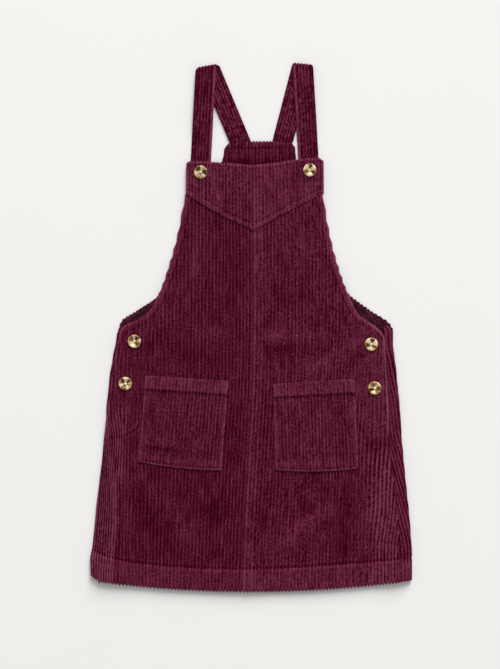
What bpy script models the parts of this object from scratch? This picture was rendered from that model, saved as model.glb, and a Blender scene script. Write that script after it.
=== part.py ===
"""Child's pinafore dress in wide-wale corduroy, laid flat on its back with the straps folded down to the bib.

X runs across the dress and +Y towards the straps. +Z is up from the surface it lies on.
Sizes here are millimetres. A height is measured up the dress from the lowest point of its hem.
"""

import math
from collections import namedtuple

import bpy
import numpy as np

MM = 0.001

# ---- driving dimensions ----
LENGTH = 636.0  # lowest point of the hem to the top fold of the higher strap
CLOTH = 1.7  # corduroy, one layer
FACING = 1.4  # lighter corduroy that faces the back bib
FACING_HALF_WIDTH = 140.0
FACING_FOOT = 296.0  # height of its lower edge, just below the armholes
SEAM_GAP = 0.3  # between pieces that are sewn or lie together
HEM_DEPTH = 28.0  # turned-up hem
HEM_HALF_WIDTH = 193.0
HEM_RISE = 14.0  # how much the hem curves up towards the sides
BAND_WIDTH = 9.6  # lapped seam down the centre front
BAND_LIFT = 0.9  # how far the seam allowance under the band lifts it
YOKE_WALL = 2.8  # the yoke is cut double
BED = 3.9  # height of the front's underside over the flat back
BED_DIP = 1.3  # how far the middle of the front sinks between the hem and the bib
STRAP_WIDTH = 24.4
STRAP_THICK = 3.4  # doubled cloth
STRAP_UNDERLAP = 28.0  # the strap's end behind the front yoke
POCKET_HEM = 18.0
POCKET_HEM_LIFT = 0.9  # how much thicker the doubled top hem is
POCKET_LIP = 0.5  # how far the mouth stands off the front
HEM_TURN = 0.04  # share of a pocket's height over which the top hem steps down
STAND_WIDTH = 30.0  # underlap that carries the side buttons
STAND_FOOT = 206.0  # height of its lower end
BUTTON_RADIUS = 7.9
BUTTON_THICK = 2.9
BUTTON_FOOT = 0.7  # share of the radius that is flat underneath
BUTTON_HOLE_RADIUS = 0.9
BUTTON_HOLE_RING = 1.9  # from the button's centre to each of its four holes

BACK_TOP = 541.6  # top of the back bib
ARMPIT = 322.0  # where the side ends and the armhole begins
PANEL_TOP = 476.5  # the front panels' highest point, under the ends of the yoke's V
CORNER = 14.0  # height of the hem at the sides
CLOSE = 0.1  # added to a gap where two curved walls pass each other

# ---- how the front lies over the back ----
HEM_FADE = 60.0  # the hem's curve has straightened out by this height
RIDGE_HEIGHT = 2.7  # the soft roll along each side, over the bed
RIDGE_INSET = 19.0
RIDGE_REACH = 24.0
SIDE_DROP = 3.0  # how far the left side rolls down to the back's edge
SIDE_DROP_REACH = 17.0
SEAM_RAISE = 2.4  # the right side seam, over the bed
BIB_DROOP = 2.8  # the bib's edges sink where no back lies under them
BIB_DROOP_REACH = 19.0
ROLL_RADIUS = 1.9  # of the cloth's middle where a side turns up
ROLL_FOOT = 4.2  # from the outline in to where the back lies flat
ROLL_START = 0.12  # share of the roll that is left where a side has no wrap
UNDERLAP = 2.0  # the back's rolled edge runs this far under a placket
STRAP_DESCENT = (58.0, 92.0)  # from the fold, where the front leg comes down to the surface

# ---- how finely the cloth is divided ----
ROW_STEP = 30.0  # spacing of a panel's sections up the dress
SEAT_SAMPLES = 12
LEFT_SHARES = (0, 0.14, 0.30, 0.46, 0.62, 0.74, 0.84, 0.90, 0.95, 1.0)
RIGHT_SHARES = (0, 0.010, 0.053, 0.068, 0.18, 0.34, 0.50, 0.66, 0.78, 0.88, 0.95, 1.0)
YOKE_SHARES = (0, 0.25, 0.5, 0.72, 0.86, 0.94, 1.0)
YOKE_RISES = (0, 0.12, 0.4, 0.7, 1.0)
BUTTON_SIDES = 24
HOLE_SIDES = 8
HOLES = 4

CORDUROY = (0.085, 0.010, 0.028)
CORDUROY_INSIDE = (0.075, 0.010, 0.025)
HORN = (0.72, 0.55, 0.30)

Knot = namedtuple("Knot", "height across")  # a point where an edge changes direction
Spot = namedtuple("Spot", "across height")
Leg = namedtuple("Leg", "name start fold back_end slide")

# ---- edges, from the hem upwards ----
LEFT_OUTLINE = (
    Knot(14, -187.0), Knot(20, -192.0), Knot(34, -193.0), Knot(49, -190.6), Knot(117, -184.3),
    Knot(183, -177.0), Knot(232, -171.5), Knot(262, -168.7), Knot(302, -162.2), Knot(322, -158.2),
)
RIGHT_OUTLINE = (
    Knot(14, 188.0), Knot(20, 192.4), Knot(34, 193.2), Knot(49, 193.0), Knot(100, 188.8),
    Knot(136, 184.6), Knot(182, 180.4), Knot(237, 177.1), Knot(294, 171.1), Knot(322, 168.6),
)
FRONT_LEFT_SIDE = (  # side roll, then the placket, the armhole and the side of the bib
    Knot(14, -186.0), Knot(20, -191.0), Knot(34, -192.0), Knot(49, -189.6), Knot(117, -183.3),
    Knot(183, -176.0), Knot(219, -172.4), Knot(256, -167.4), Knot(302, -159.5), Knot(314, -157.5),
    Knot(321, -151.0), Knot(327.5, -137.5), Knot(337, -124.7), Knot(354, -112.7), Knot(399, -96.2),
    Knot(442, -85.2), Knot(476, -78.8), Knot(481, -78.6),
)
FRONT_RIGHT_SIDE = (  # side seam, then the placket, the armhole and the side of the bib
    Knot(14, 178.0), Knot(39, 179.0), Knot(62, 178.6), Knot(81, 177.0), Knot(129, 171.6),
    Knot(186, 166.8), Knot(232, 163.3), Knot(283, 161.5), Knot(307, 158.8), Knot(320, 148.6),
    Knot(332, 132.1), Knot(354, 118.3), Knot(399, 102.1), Knot(432, 93.8), Knot(474, 87.0),
    Knot(481, 86.2),
)
BACK_LEFT_ARMHOLE = (
    Knot(322, -157.6), Knot(326, -155.0), Knot(340, -134.0), Knot(354, -113.5), Knot(395, -78.0),
    Knot(440, -58.0), Knot(480, -44.0), Knot(518, -35.0), Knot(531, -32.4), Knot(537, -30.0),
    Knot(BACK_TOP, -25.0),
)
BACK_RIGHT_ARMHOLE = (
    Knot(322, 168.0), Knot(326, 161.0), Knot(339.5, 139.4), Knot(357, 117.4), Knot(400, 84.0),
    Knot(440, 67.0), Knot(480, 57.5), Knot(518, 54.4), Knot(531, 53.2), Knot(537, 51.6),
    Knot(BACK_TOP, 47.0),
)
CENTRE_SEAM = (
    Knot(-2, -10.8), Knot(86, -7.4), Knot(166, -2.9), Knot(259, 1.8), Knot(351, 3.0), Knot(520, 1.6),
)
YOKE_POINT = Spot(3.4, 434.5)  # lowest point of the yoke's V
YOKE_LEFT_LOWER = (Spot(3.4, 434.5), Spot(-24.6, 447.5), Spot(-52.2, 462.3), Spot(-78.5, 478.7))
YOKE_RIGHT_LOWER = (Spot(3.4, 434.5), Spot(30.5, 450.0), Spot(58.1, 464.6), Spot(86.3, 478.7))
BIB_LEFT_TOP = (
    Spot(1.6, 513.7), Spot(-30.4, 516.6), Spot(-48.7, 517.8), Spot(-70.8, 518.8), Spot(-78.0, 512.5),
)
BIB_RIGHT_TOP = (
    Spot(1.6, 513.7), Spot(37.0, 517.8), Spot(55.3, 521.0), Spot(80.0, 521.8), Spot(87.0, 514.5),
)

# ---- pockets, buttons and straps ----
Patch = namedtuple("Patch", "name top_left top_right bottom_right bottom_left sag")
POCKETS = (
    Patch(
        name="pocket_left", top_left=Spot(-127.0, 261.2), top_right=Spot(-26.6, 254.3),
        bottom_right=Spot(-35.9, 146.3), bottom_left=Spot(-135.8, 156.8), sag=2.5,
    ),
    Patch(
        name="pocket_right", top_left=Spot(26.0, 250.8), top_right=Spot(124.1, 257.0),
        bottom_right=Spot(128.8, 148.7), bottom_left=Spot(29.0, 147.0), sag=3.0,
    ),
)
Button = namedtuple("Button", "name across height turn")
BIB_BUTTONS = (
    Button("button_bib_left", -60.5, 504.5, 12.0),
    Button("button_bib_right", 70.3, 507.0, 40.0),
)
SIDE_BUTTONS = (
    Button("button_side_left_upper", -140.0, 301.6, 24.0),
    Button("button_side_left_lower", -150.8, 251.0, 3.0),
    Button("button_side_right_upper", 144.0, 298.1, 35.0),
    Button("button_side_right_lower", 148.0, 245.6, 15.0),
)
LEGS = (  # a strap's line under the yoke, at its outer fold, and where it meets the back bib
    Leg("strap_left", Spot(-60.5, 518.4), Spot(-54.5, 631.3), Spot(-16.0, BACK_TOP), 3.0),
    Leg("strap_right", Spot(68.9, 522.0), Spot(62.0, 634.1), Spot(37.6, BACK_TOP), 0.0),
)


def hermite(knots, position, value):
    """A smooth curve through knots that never swings past them, as a function of one number."""
    at = np.array([position(k) for k in knots], float)
    out = np.array([value(k) for k in knots], float)
    if at[0] > at[-1]:
        at, out = at[::-1], out[::-1]
    rise = np.diff(out) / np.diff(at)
    slope = np.zeros(len(at))
    same = rise[:-1] * rise[1:] > 0
    inner = np.where(same, 2 * rise[:-1] * rise[1:] / np.where(same, rise[:-1] + rise[1:], 1), 0)
    slope[1:-1] = inner
    slope[0], slope[-1] = rise[0], rise[-1]

    def curve(x):
        x = np.clip(x, at[0], at[-1])
        k = np.clip(np.searchsorted(at, x) - 1, 0, len(at) - 2)
        width = at[k + 1] - at[k]
        t = (x - at[k]) / width
        start = (1 + 2 * t) * (1 - t) ** 2 * out[k] + t * (1 - t) ** 2 * width * slope[k]
        end = t * t * (3 - 2 * t) * out[k + 1] + t * t * (t - 1) * width * slope[k + 1]
        return start + end

    return curve


def edge(knots):
    return hermite(knots, lambda k: k.height, lambda k: k.across)


def line(spots):
    return hermite(spots, lambda s: s.across, lambda s: s.height)


def step(value, low, high):
    """Rises smoothly from 0 at low to 1 at high."""
    t = np.clip((value - low) / (high - low), 0, 1)
    return t * t * (3 - 2 * t)


def stations(breaks, spacing=ROW_STEP):
    """The break heights with evenly spaced ones between them."""
    out = [breaks[0]]
    for low, high in zip(breaks, breaks[1:]):
        count = max(1, round((high - low) / spacing))
        out += [low + (high - low) * (i + 1) / count for i in range(count)]
    return np.array(out, float)


# The yoke's lower edge read the other way: how far across it is at a height.
V_LEFT = hermite(YOKE_LEFT_LOWER, lambda s: s.height, lambda s: s.across)
V_RIGHT = hermite(YOKE_RIGHT_LOWER, lambda s: s.height, lambda s: s.across)
LEFT_OUT, RIGHT_OUT = edge(LEFT_OUTLINE), edge(RIGHT_OUTLINE)
LEFT_SIDE, RIGHT_SIDE = edge(FRONT_LEFT_SIDE), edge(FRONT_RIGHT_SIDE)
LEFT_ARMHOLE, RIGHT_ARMHOLE = edge(BACK_LEFT_ARMHOLE), edge(BACK_RIGHT_ARMHOLE)
CENTRE = edge(CENTRE_SEAM)


def hem_lift(x, height):
    """The hem's curve, fading out up the dress."""
    share = np.clip(1 - height / HEM_FADE, 0, 1)
    return HEM_RISE * (x / HEM_HALF_WIDTH) ** 2 * share


def bed(x, height):
    """Height of the front's underside over the surface."""
    level = BED + np.zeros(np.broadcast(x, height).shape)
    body = step(height, HEM_DEPTH + 4, 95) * (1 - step(height, 225, 290))
    middle = 1 - step(np.abs(x), 60, 135)
    level = level - BED_DIP * body * middle
    left, right = LEFT_SIDE(height), RIGHT_SIDE(height)
    side = 1 - step(height, 300, 345)
    below = 1 - step(height, 140, 200)
    inset = x - left
    ridge = np.exp(-(((inset - RIDGE_INSET) / RIDGE_REACH) ** 2))
    level = level + side * ridge * (0.5 + 0.5 * below) * RIDGE_HEIGHT
    level = level - SIDE_DROP * below * (1 - step(inset, 0, SIDE_DROP_REACH)) * step(height, 26, 60)
    seam = np.exp(-(((right - x) / RIDGE_REACH) ** 2))
    level = level + side * seam * SEAM_RAISE
    bib = step(height, 386, 416) * (1 - step(height, 440, 474))
    hang = 1 - step(np.minimum(inset, right - x), 0, BIB_DROOP_REACH)
    return level - BIB_DROOP * bib * hang


def front_wall(x, height):
    """Thickness of a front panel: doubled at the hem, lifted along the centre band."""
    wall = CLOTH + CLOTH * (1 - step(height, HEM_DEPTH - 1, HEM_DEPTH + 4))
    from_seam = x - CENTRE(height)
    band = step(from_seam, 0.4, 1.4) * (1 - step(from_seam, BAND_WIDTH, BAND_WIDTH + 2.2))
    return wall + BAND_LIFT * band


def front_top(x, height):
    return bed(x, height) + front_wall(x, height)


def corduroy(name, colour, roughness, metallic=0.0):
    material = bpy.data.materials.new(name)
    material.use_nodes = True
    shader = next(n for n in material.node_tree.nodes if n.type == "BSDF_PRINCIPLED")
    shader.inputs["Base Color"].default_value = (*colour, 1)
    shader.inputs["Roughness"].default_value = roughness
    shader.inputs["Metallic"].default_value = metallic
    return material


def add_object(name, points, faces, material, smooth=True):
    """Puts a mesh of points in millimetres, with height up the dress as Y, into the scene."""
    points = np.array(points, float)
    points[:, 1] -= LENGTH / 2
    mesh = bpy.data.meshes.new(name)
    mesh.from_pydata((points * MM).tolist(), [], faces)
    mesh.materials.append(material)
    if smooth:
        mesh.shade_smooth()
        mesh.set_sharp_from_angle(angle=math.radians(40))
    obj = bpy.data.objects.new(name, mesh)
    bpy.context.collection.objects.link(obj)
    return obj


def shell(name, top, bottom, material):
    """Closes two grids of points, rows by columns, into one wall with a rim."""
    rows, columns = top.shape[:2]
    size = rows * columns
    points = np.concatenate([top.reshape(-1, 3), bottom.reshape(-1, 3)])
    number = np.arange(size).reshape(rows, columns)
    faces = []
    for r in range(rows - 1):
        for c in range(columns - 1):
            a, b = number[r, c], number[r, c + 1]
            d, e = number[r + 1, c], number[r + 1, c + 1]
            faces.append((int(a), int(b), int(e), int(d)))
            faces.append((int(d + size), int(e + size), int(b + size), int(a + size)))
    rim = [*number[0], *number[1:, -1], *number[-1, -2::-1], *number[-2:0:-1, 0]]
    for a, b in zip(rim, rim[1:] + rim[:1]):
        faces.append((int(b), int(a), int(a + size), int(b + size)))
    return add_object(name, points, faces, material)


def grid(x, height, z):
    return np.stack(np.broadcast_arrays(x, height, z), axis=-1).astype(float)


# ---- front ----


def front_panel(name, outer, v_line, shares, material):
    """A front panel, from its hem to the yoke, between the centre seam and its outer edge."""
    rows = stations((
        0, 7, 20, HEM_DEPTH - 1, HEM_DEPTH + 4, 95, 186, 235, 300, 314, 321, 330, 354, 400,
        YOKE_POINT.height - 1, 455, PANEL_TOP,
    ))
    level = rows[:, None]
    sign = 1 if name.endswith("right") else -1
    below_yoke = level < YOKE_POINT.height
    # Beside the V the panel stops short of the yoke by a gap measured square to the sloping seam.
    inner = np.where(below_yoke, CENTRE(level) + sign * SEAM_GAP / 2, v_line(level) + sign * 3 * SEAM_GAP)
    x = inner + (outer(np.maximum(level, CORNER)) - inner) * np.array(shares)
    height = level + hem_lift(x, level)
    bottom, top = grid(x, height, bed(x, height)), grid(x, height, front_top(x, height))
    if sign > 0:
        return shell(name, top, bottom, material)
    return shell(name, top[:, ::-1], bottom[:, ::-1], material)


def yoke(name, lower, upper, material):
    """Half of the front yoke, from its V up to the top of the bib."""
    sign = 1 if name.endswith("right") else -1
    low, high = line(lower), line(upper)
    shares = np.array(YOKE_SHARES)
    rise = np.array(YOKE_RISES)[:, None]
    half_gap = sign * SEAM_GAP / 2 * (1 - shares)
    low_x = lower[0].across + (lower[-1].across - lower[0].across) * shares + half_gap
    high_x = upper[0].across + (upper[-1].across - upper[0].across) * shares + half_gap
    x = low_x + (high_x - low_x) * rise
    low_height = low(low_x) + SEAM_GAP
    height = low_height + (high(high_x) - low_height) * rise
    z = bed(x, height)
    bottom, top = grid(x, height, z), grid(x, height, z + YOKE_WALL)
    if sign > 0:
        return shell(name, top, bottom, material)
    return shell(name, top[:, ::-1], bottom[:, ::-1], material)


# ---- back ----


def side_roll(outline, seam_x, seam_z, share, sign):
    """Points (x, z) of the cloth's middle, from the flat back up round the side to its seam."""
    start = CLOTH / 2
    radius = min(ROLL_RADIUS, (seam_z - start) / 2)
    edge_x = outline - sign * CLOTH / 2
    width, rise = sign * abs(edge_x - seam_x), seam_z - start - radius
    arc = [
        (edge_x - sign * radius * (1 - math.sin(a)), start + radius * (1 - math.cos(a)))
        for a in np.radians((25, 58, 90))
    ]
    shoulders = ((0.06, 0.45), (0.4, 0.78))  # shares of the width inwards and of the rise
    over = [(edge_x - width * inward, start + radius + rise * up) for inward, up in shoulders]
    path = np.array([*arc, *over, (seam_x, seam_z)])
    run = np.concatenate([[0], np.cumsum(np.linalg.norm(np.diff(path, axis=0), axis=1))])
    at = np.linspace(0, share, len(path)) * run[-1]
    return np.stack([np.interp(at, run, path[:, 0]), np.interp(at, run, path[:, 1])], axis=-1)


def back(material):
    """The whole back: flat from the hem to the back bib, its sides rolled up to the front."""
    side_rows = stations((
        0, 7, 20, HEM_DEPTH - 1, HEM_DEPTH + 4, 100, 168, 182, 186, 196, 222, 300, 315, ARMPIT,
    ))
    arm_rows = stations((ARMPIT, 327, 340, 356, 400, 440, 480, 518, 531, 537, BACK_TOP))[1:]
    flat_shares = np.linspace(0, 1, 9)
    middles = []
    for height in side_rows:
        lowered = step(height, 168, 182)  # over the placket the edge sinks
        tucked = step(height, 186, 196)  # and runs on under the front
        level = max(height, CORNER)
        left_edge, right_edge = LEFT_SIDE(level), RIGHT_SIDE(level)
        reach = UNDERLAP * tucked - 2 * SEAM_GAP * (1 - tucked)
        left_z = max(bed(left_edge + UNDERLAP, height) - SEAM_GAP - CLOTH / 2, 2 * CLOTH)
        right_z = bed(right_edge, height) + CLOTH / 2 - lowered * (CLOTH + SEAM_GAP + CLOSE)
        corner = 1 - step(height, 308, ARMPIT)
        right_share = ROLL_START + (1 - ROLL_START) * corner
        left_share = ROLL_START + (1 - ROLL_START) * corner * step(height, 205, 250)
        left_roll = side_roll(LEFT_OUT(level), left_edge + reach, left_z, left_share, -1)
        right_roll = side_roll(RIGHT_OUT(level), right_edge - reach, right_z, right_share, 1)
        flat_left, flat_right = LEFT_OUT(level) + ROLL_FOOT, RIGHT_OUT(level) - ROLL_FOOT
        flat = [(flat_left + (flat_right - flat_left) * s, CLOTH / 2) for s in flat_shares]
        section = np.array([*left_roll[::-1], *flat, *right_roll])
        middles.append([(x, height + hem_lift(x, height), z) for x, z in section])
    last = np.array(middles[-1])[:, 0]
    shares = (last - last[0]) / (last[-1] - last[0])
    even = np.linspace(0, 1, len(shares))
    for height in arm_rows:
        left, right = LEFT_ARMHOLE(height), RIGHT_ARMHOLE(height)
        spread = shares + (even - shares) * step(height, ARMPIT, 356)
        middles.append([(left + (right - left) * share, height, CLOTH / 2) for share in spread])
    middle = np.array(middles)
    across = np.gradient(middle, axis=1)
    normal = np.stack([-across[..., 2], np.zeros(across.shape[:2]), across[..., 0]], axis=-1)
    normal /= np.linalg.norm(normal, axis=-1, keepdims=True)
    hem = (1 - step(middle[..., 1:2], HEM_DEPTH - 1, HEM_DEPTH + 4)) * CLOTH
    flat = normal[..., 2:3] > 0.999
    top = middle + normal * (CLOTH / 2 + np.where(flat, hem, 0.0))
    bottom = middle - normal * CLOTH / 2
    return shell("back", top, bottom, material)


def back_facing(material):
    """Faces the inside of the back bib from its top to just below the armholes."""
    rows = stations((FACING_FOOT, 312, ARMPIT, 327, 340, 356, 400, 440, 480, 518, 531, 537, BACK_TOP))
    level = rows[:, None]
    left = np.maximum(LEFT_ARMHOLE(level) + SEAM_GAP, -FACING_HALF_WIDTH)
    right = np.minimum(RIGHT_ARMHOLE(level) - SEAM_GAP, FACING_HALF_WIDTH)
    x = left + (right - left) * np.linspace(0, 1, 7)
    z = CLOTH + SEAM_GAP
    return shell("back_facing", grid(x, level, z + FACING), grid(x, level, z), material)


def button_stand(name, side, material):
    """The underlap beside a placket, lying between the back and the front."""
    sign = 1 if name.endswith("right") else -1
    rows = stations((STAND_FOOT, 235, 292), 22.0)
    level = rows[:, None]
    outer = side(level) - sign * (UNDERLAP + 2 * SEAM_GAP)
    x = outer - sign * STAND_WIDTH * np.linspace(0, 1, 4)
    z = np.maximum(bed(x, level) - SEAM_GAP - CLOTH, CLOTH + SEAM_GAP)
    top, bottom = grid(x, level, z + CLOTH - CLOSE), grid(x, level, z)
    if sign > 0:
        return shell(name, top[:, ::-1], bottom[:, ::-1], material)
    return shell(name, top, bottom, material)


# ---- pockets ----


def pocket(patch, material):
    """A patch pocket on the front, its top hem turned down and so doubled."""
    hem = POCKET_HEM / (patch.top_left.height - patch.bottom_left.height)
    across = np.linspace(0, 1, 7)
    down = np.array([0, hem, hem + HEM_TURN, 0.4, 0.62, 0.84, 0.93, 1.0])[:, None]
    corner = {
        spot: np.array(getattr(patch, spot), float)
        for spot in ("top_left", "top_right", "bottom_right", "bottom_left")
    }
    upper = corner["top_left"] + (corner["top_right"] - corner["top_left"]) * across[:, None]
    lower = corner["bottom_left"] + (corner["bottom_right"] - corner["bottom_left"]) * across[:, None]
    points = upper + (lower - upper) * down[:, :, None]
    x, height = points[..., 0], points[..., 1]
    height = height - patch.sag * 4 * across * (1 - across) * down ** 3
    wall = CLOTH + POCKET_HEM_LIFT * (1 - step(down, hem, hem + HEM_TURN))
    lip = POCKET_LIP * (1 - step(down, 0, hem))
    z = front_top(x, height) + SEAM_GAP + CLOSE + lip
    top, bottom = grid(x, height, z + wall), grid(x, height, z)
    return shell(patch.name, top[::-1], bottom[::-1], material)


# ---- straps ----


def unit(vector):
    return vector / np.linalg.norm(vector)


def strap(leg, material):
    """A doubled strip that leaves the back bib, folds over and comes down behind the front yoke."""
    start, fold, end = (np.array(s, float) for s in (leg.start, leg.fold, leg.back_end))
    up = unit(fold - start)
    down = unit(end - fold)
    lateral = np.array([up[1], -up[0]])
    out = unit(up - down)  # square to the crease, away from the dress
    crease = np.array([out[1], -out[0]])
    rim = STRAP_THICK + SEAM_GAP / 2
    middle_radius = rim - STRAP_THICK / 2
    axis = out @ fold - rim  # the crease's axis, measured along out
    to_axis = (axis - out @ start) / (out @ up)
    wrap = math.pi * middle_radius / (out @ up)
    back_lateral = lateral - 2 * (out @ lateral) * out
    level = np.array([1.0, 0.0])
    end_shear = (level @ down) / (level @ back_lateral)
    fold_shear = (crease @ up) / (crease @ lateral)
    fold_point = start + up * to_axis + crease * leg.slide
    back_run = (fold_point[1] - leg.back_end.height - SEAM_GAP) / abs(down[1])
    total = to_axis + wrap + back_run
    positions = np.array([
        *np.linspace(-STRAP_UNDERLAP, to_axis - 10, 12),
        *np.linspace(to_axis - 4, to_axis + wrap + 4, 11),
        *np.linspace(to_axis + wrap + 14, total, 7),
    ])
    halves = np.array([-0.5, 0.5]) * STRAP_WIDTH
    top, bottom = [], []
    for s in positions:
        shear = np.interp(s, (0, to_axis, to_axis + wrap, total), (0, fold_shear, fold_shear, end_shear))
        upper, under = [], []
        for u in halves:
            flat = start + up * (s + u * shear) + lateral * u
            past = out @ flat - axis
            turn = min(max(past / middle_radius, 0.0), math.pi)
            base = flat - out * past if past > 0 else flat
            base = base + crease * leg.slide * turn / math.pi
            descent = step(to_axis - s, *STRAP_DESCENT)
            raised = STRAP_THICK + SEAM_GAP / 2 + middle_radius * math.cos(turn)
            height = raised - descent * (STRAP_THICK + SEAM_GAP)
            for layer, store in ((0.5, upper), (-0.5, under)):
                reach = layer * STRAP_THICK
                spot = base + out * (middle_radius + reach) * math.sin(turn)
                if past > math.pi * middle_radius:
                    spot = base - out * (past - math.pi * middle_radius)
                store.append((*spot, height + reach * math.cos(turn)))
        top.append(upper)
        bottom.append(under)
    top, bottom = np.array(top), np.array(bottom)
    return shell(leg.name, top, bottom, material)


# ---- buttons ----


def button(spec, seat, material):
    """A four-hole button with a rounded rim and a dished face."""
    radius, thick = BUTTON_RADIUS, BUTTON_THICK
    profile = (
        (0.0, 0.55 * thick), (0.52 * radius, 0.60 * thick), (0.66 * radius, 0.97 * thick),
        (0.84 * radius, thick), (0.97 * radius, 0.72 * thick), (radius, 0.45 * thick),
        (0.88 * radius, 0.08 * thick), (BUTTON_FOOT * radius, 0.0), (0.0, 0.0),
    )
    sides = BUTTON_SIDES
    points, faces = [], []
    for reach, level in profile[1:-1]:
        for i in range(sides):
            angle = 2 * math.pi * i / sides
            points.append((reach * math.cos(angle), reach * math.sin(angle), level))
    rings = len(profile) - 2
    for ring in range(rings - 1):
        for i in range(sides):
            j = (i + 1) % sides
            a, b = ring * sides + i, ring * sides + j
            faces.append((a, a + sides, b + sides, b))
    faces.append(tuple(range(sides)))
    faces.append(tuple((rings - 1) * sides + i for i in reversed(range(sides))))
    points = np.array(points) + np.array([spec.across, spec.height, seat])
    disc = add_object(spec.name, points, faces, material)
    cutter_points, cutter_faces = [], []
    for hole in range(HOLES):
        angle = math.radians(spec.turn) + 2 * math.pi * (hole + 0.5) / HOLES
        centre_x = spec.across + BUTTON_HOLE_RING * math.cos(angle)
        centre_y = spec.height + BUTTON_HOLE_RING * math.sin(angle)
        first = len(cutter_points)
        for level in (seat - thick, seat + 2 * thick):
            for i in range(HOLE_SIDES):
                bearing = 2 * math.pi * i / HOLE_SIDES
                cutter_points.append((
                    centre_x + BUTTON_HOLE_RADIUS * math.cos(bearing),
                    centre_y + BUTTON_HOLE_RADIUS * math.sin(bearing),
                    level,
                ))
        for i in range(HOLE_SIDES):
            j = (i + 1) % HOLE_SIDES
            cutter_faces.append((first + i, first + j, first + HOLE_SIDES + j, first + HOLE_SIDES + i))
        cutter_faces.append(tuple(first + i for i in reversed(range(HOLE_SIDES))))
        cutter_faces.append(tuple(first + HOLE_SIDES + i for i in range(HOLE_SIDES)))
    cutter = add_object(spec.name + "_holes", cutter_points, cutter_faces, material, smooth=False)
    cutter.hide_render = True
    cutter.display_type = "WIRE"
    holes = disc.modifiers.new("holes", "BOOLEAN")
    holes.operation = "DIFFERENCE"
    holes.solver = "EXACT"
    holes.object = cutter
    return disc


def button_seat(spec, surface):
    """Rests the button's flat underside on the highest cloth beneath it."""
    angles = np.linspace(0, 2 * math.pi, SEAT_SAMPLES, endpoint=False)
    reach = BUTTON_FOOT * BUTTON_RADIUS
    x = spec.across + reach * np.append(np.cos(angles), 0)
    height = spec.height + reach * np.append(np.sin(angles), 0)
    return float(surface(x, height).max()) + SEAM_GAP


def main():
    for obj in list(bpy.data.objects):
        bpy.data.objects.remove(obj)

    cloth = corduroy("corduroy", CORDUROY, 0.95)
    front_cloth = corduroy("corduroy_front", CORDUROY, 0.95)
    front_panel("front_left", LEFT_SIDE, V_LEFT, LEFT_SHARES, front_cloth)
    front_panel("front_right", RIGHT_SIDE, V_RIGHT, RIGHT_SHARES, front_cloth)
    yoke_cloth = corduroy("corduroy_yoke", CORDUROY, 0.95)
    yoke("front_yoke_left", YOKE_LEFT_LOWER, BIB_LEFT_TOP, yoke_cloth)
    yoke("front_yoke_right", YOKE_RIGHT_LOWER, BIB_RIGHT_TOP, yoke_cloth)
    back(cloth)
    back_facing(corduroy("corduroy_facing", CORDUROY_INSIDE, 0.95))
    stand_cloth = corduroy("corduroy_stand", CORDUROY, 0.95)
    button_stand("button_stand_left", LEFT_SIDE, stand_cloth)
    button_stand("button_stand_right", RIGHT_SIDE, stand_cloth)
    pocket_cloth = corduroy("corduroy_pocket", CORDUROY, 0.95)
    for patch in POCKETS:
        pocket(patch, pocket_cloth)
    strap_cloth = corduroy("corduroy_strap", CORDUROY, 0.95)
    for leg in LEGS:
        strap(leg, strap_cloth)
    horn = corduroy("button_horn", HORN, 0.25)
    for spec in BIB_BUTTONS:
        button(spec, button_seat(spec, lambda x, height: bed(x, height) + YOKE_WALL), horn)
    for spec in SIDE_BUTTONS:
        button(spec, button_seat(spec, front_top), horn)


main()
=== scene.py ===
"""Child's pinafore dress in wide-wale corduroy, laid flat on its back with the straps folded down to the bib.

X runs across the dress and +Y towards the straps. +Z is up from the surface that it lies on.
The cloth is worked out in millimetres. A height is measured up the dress from the lowest point of its hem.
"""

import math
from collections import namedtuple

import bpy
import numpy as np
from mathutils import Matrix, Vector


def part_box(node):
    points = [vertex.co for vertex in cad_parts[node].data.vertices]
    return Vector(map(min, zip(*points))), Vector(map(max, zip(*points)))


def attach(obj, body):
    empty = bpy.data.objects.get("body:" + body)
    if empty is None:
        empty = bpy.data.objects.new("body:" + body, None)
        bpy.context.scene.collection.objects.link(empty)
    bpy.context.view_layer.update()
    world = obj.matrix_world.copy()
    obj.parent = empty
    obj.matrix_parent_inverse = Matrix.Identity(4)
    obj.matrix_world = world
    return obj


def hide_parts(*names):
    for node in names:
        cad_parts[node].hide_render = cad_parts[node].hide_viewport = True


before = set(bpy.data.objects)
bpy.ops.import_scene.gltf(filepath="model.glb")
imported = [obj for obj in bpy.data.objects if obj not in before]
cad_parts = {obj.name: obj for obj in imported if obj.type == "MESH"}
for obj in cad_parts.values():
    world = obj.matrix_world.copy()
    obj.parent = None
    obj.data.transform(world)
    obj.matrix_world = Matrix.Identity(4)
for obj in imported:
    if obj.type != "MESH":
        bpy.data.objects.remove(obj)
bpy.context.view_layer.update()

bl_info = {
    "name": "Corduroy pinafore dress",
    "version": (1, 0, 0),
    "blender": (4, 5, 0),
    "location": "View3D > Sidebar > Pinafore",
    "description": "Builds a child's corduroy pinafore, laid flat, piece by piece",
    "category": "Add Mesh",
}

MM = 0.001

Knot = namedtuple("Knot", "height across")
Spot = namedtuple("Spot", "across height")
Wale = namedtuple("Wale", "count path")  # a wale so many from the centre seam, and its line
Seam = namedtuple("Seam", "path depth width stitched", defaults=(True,))
Line = namedtuple("Line", "tone at width")  # a fine line: how light, how far away and how wide
Grain = namedtuple("Grain", "stretch detail roughness scale", defaults=(1.0,))
Crease = namedtuple("Crease", "start end width height")
Stroke = namedtuple("Stroke", "start end width tone")  # a band along a line: for rubbed patches how worn the pile is, else how much lighter or darker it is painted
Cut = namedtuple("Cut", "width length area rests_on")
Leg = namedtuple("Leg", "name start fold back_end slide lot")
Patch = namedtuple("Patch", "name half corners sag worn lot")  # its corners clockwise from the top left
Button = namedtuple("Button", "name across height wedges")
Half = namedtuple("Half", (
    "sign side v_line v_spots bib_side bib_top wales hem placket placket_pull placket_foot placket_worn "
    "placket_light placket_line creases strokes rubbed crushed crush_top crush_inset yoke_wales lots seed"
))


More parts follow.
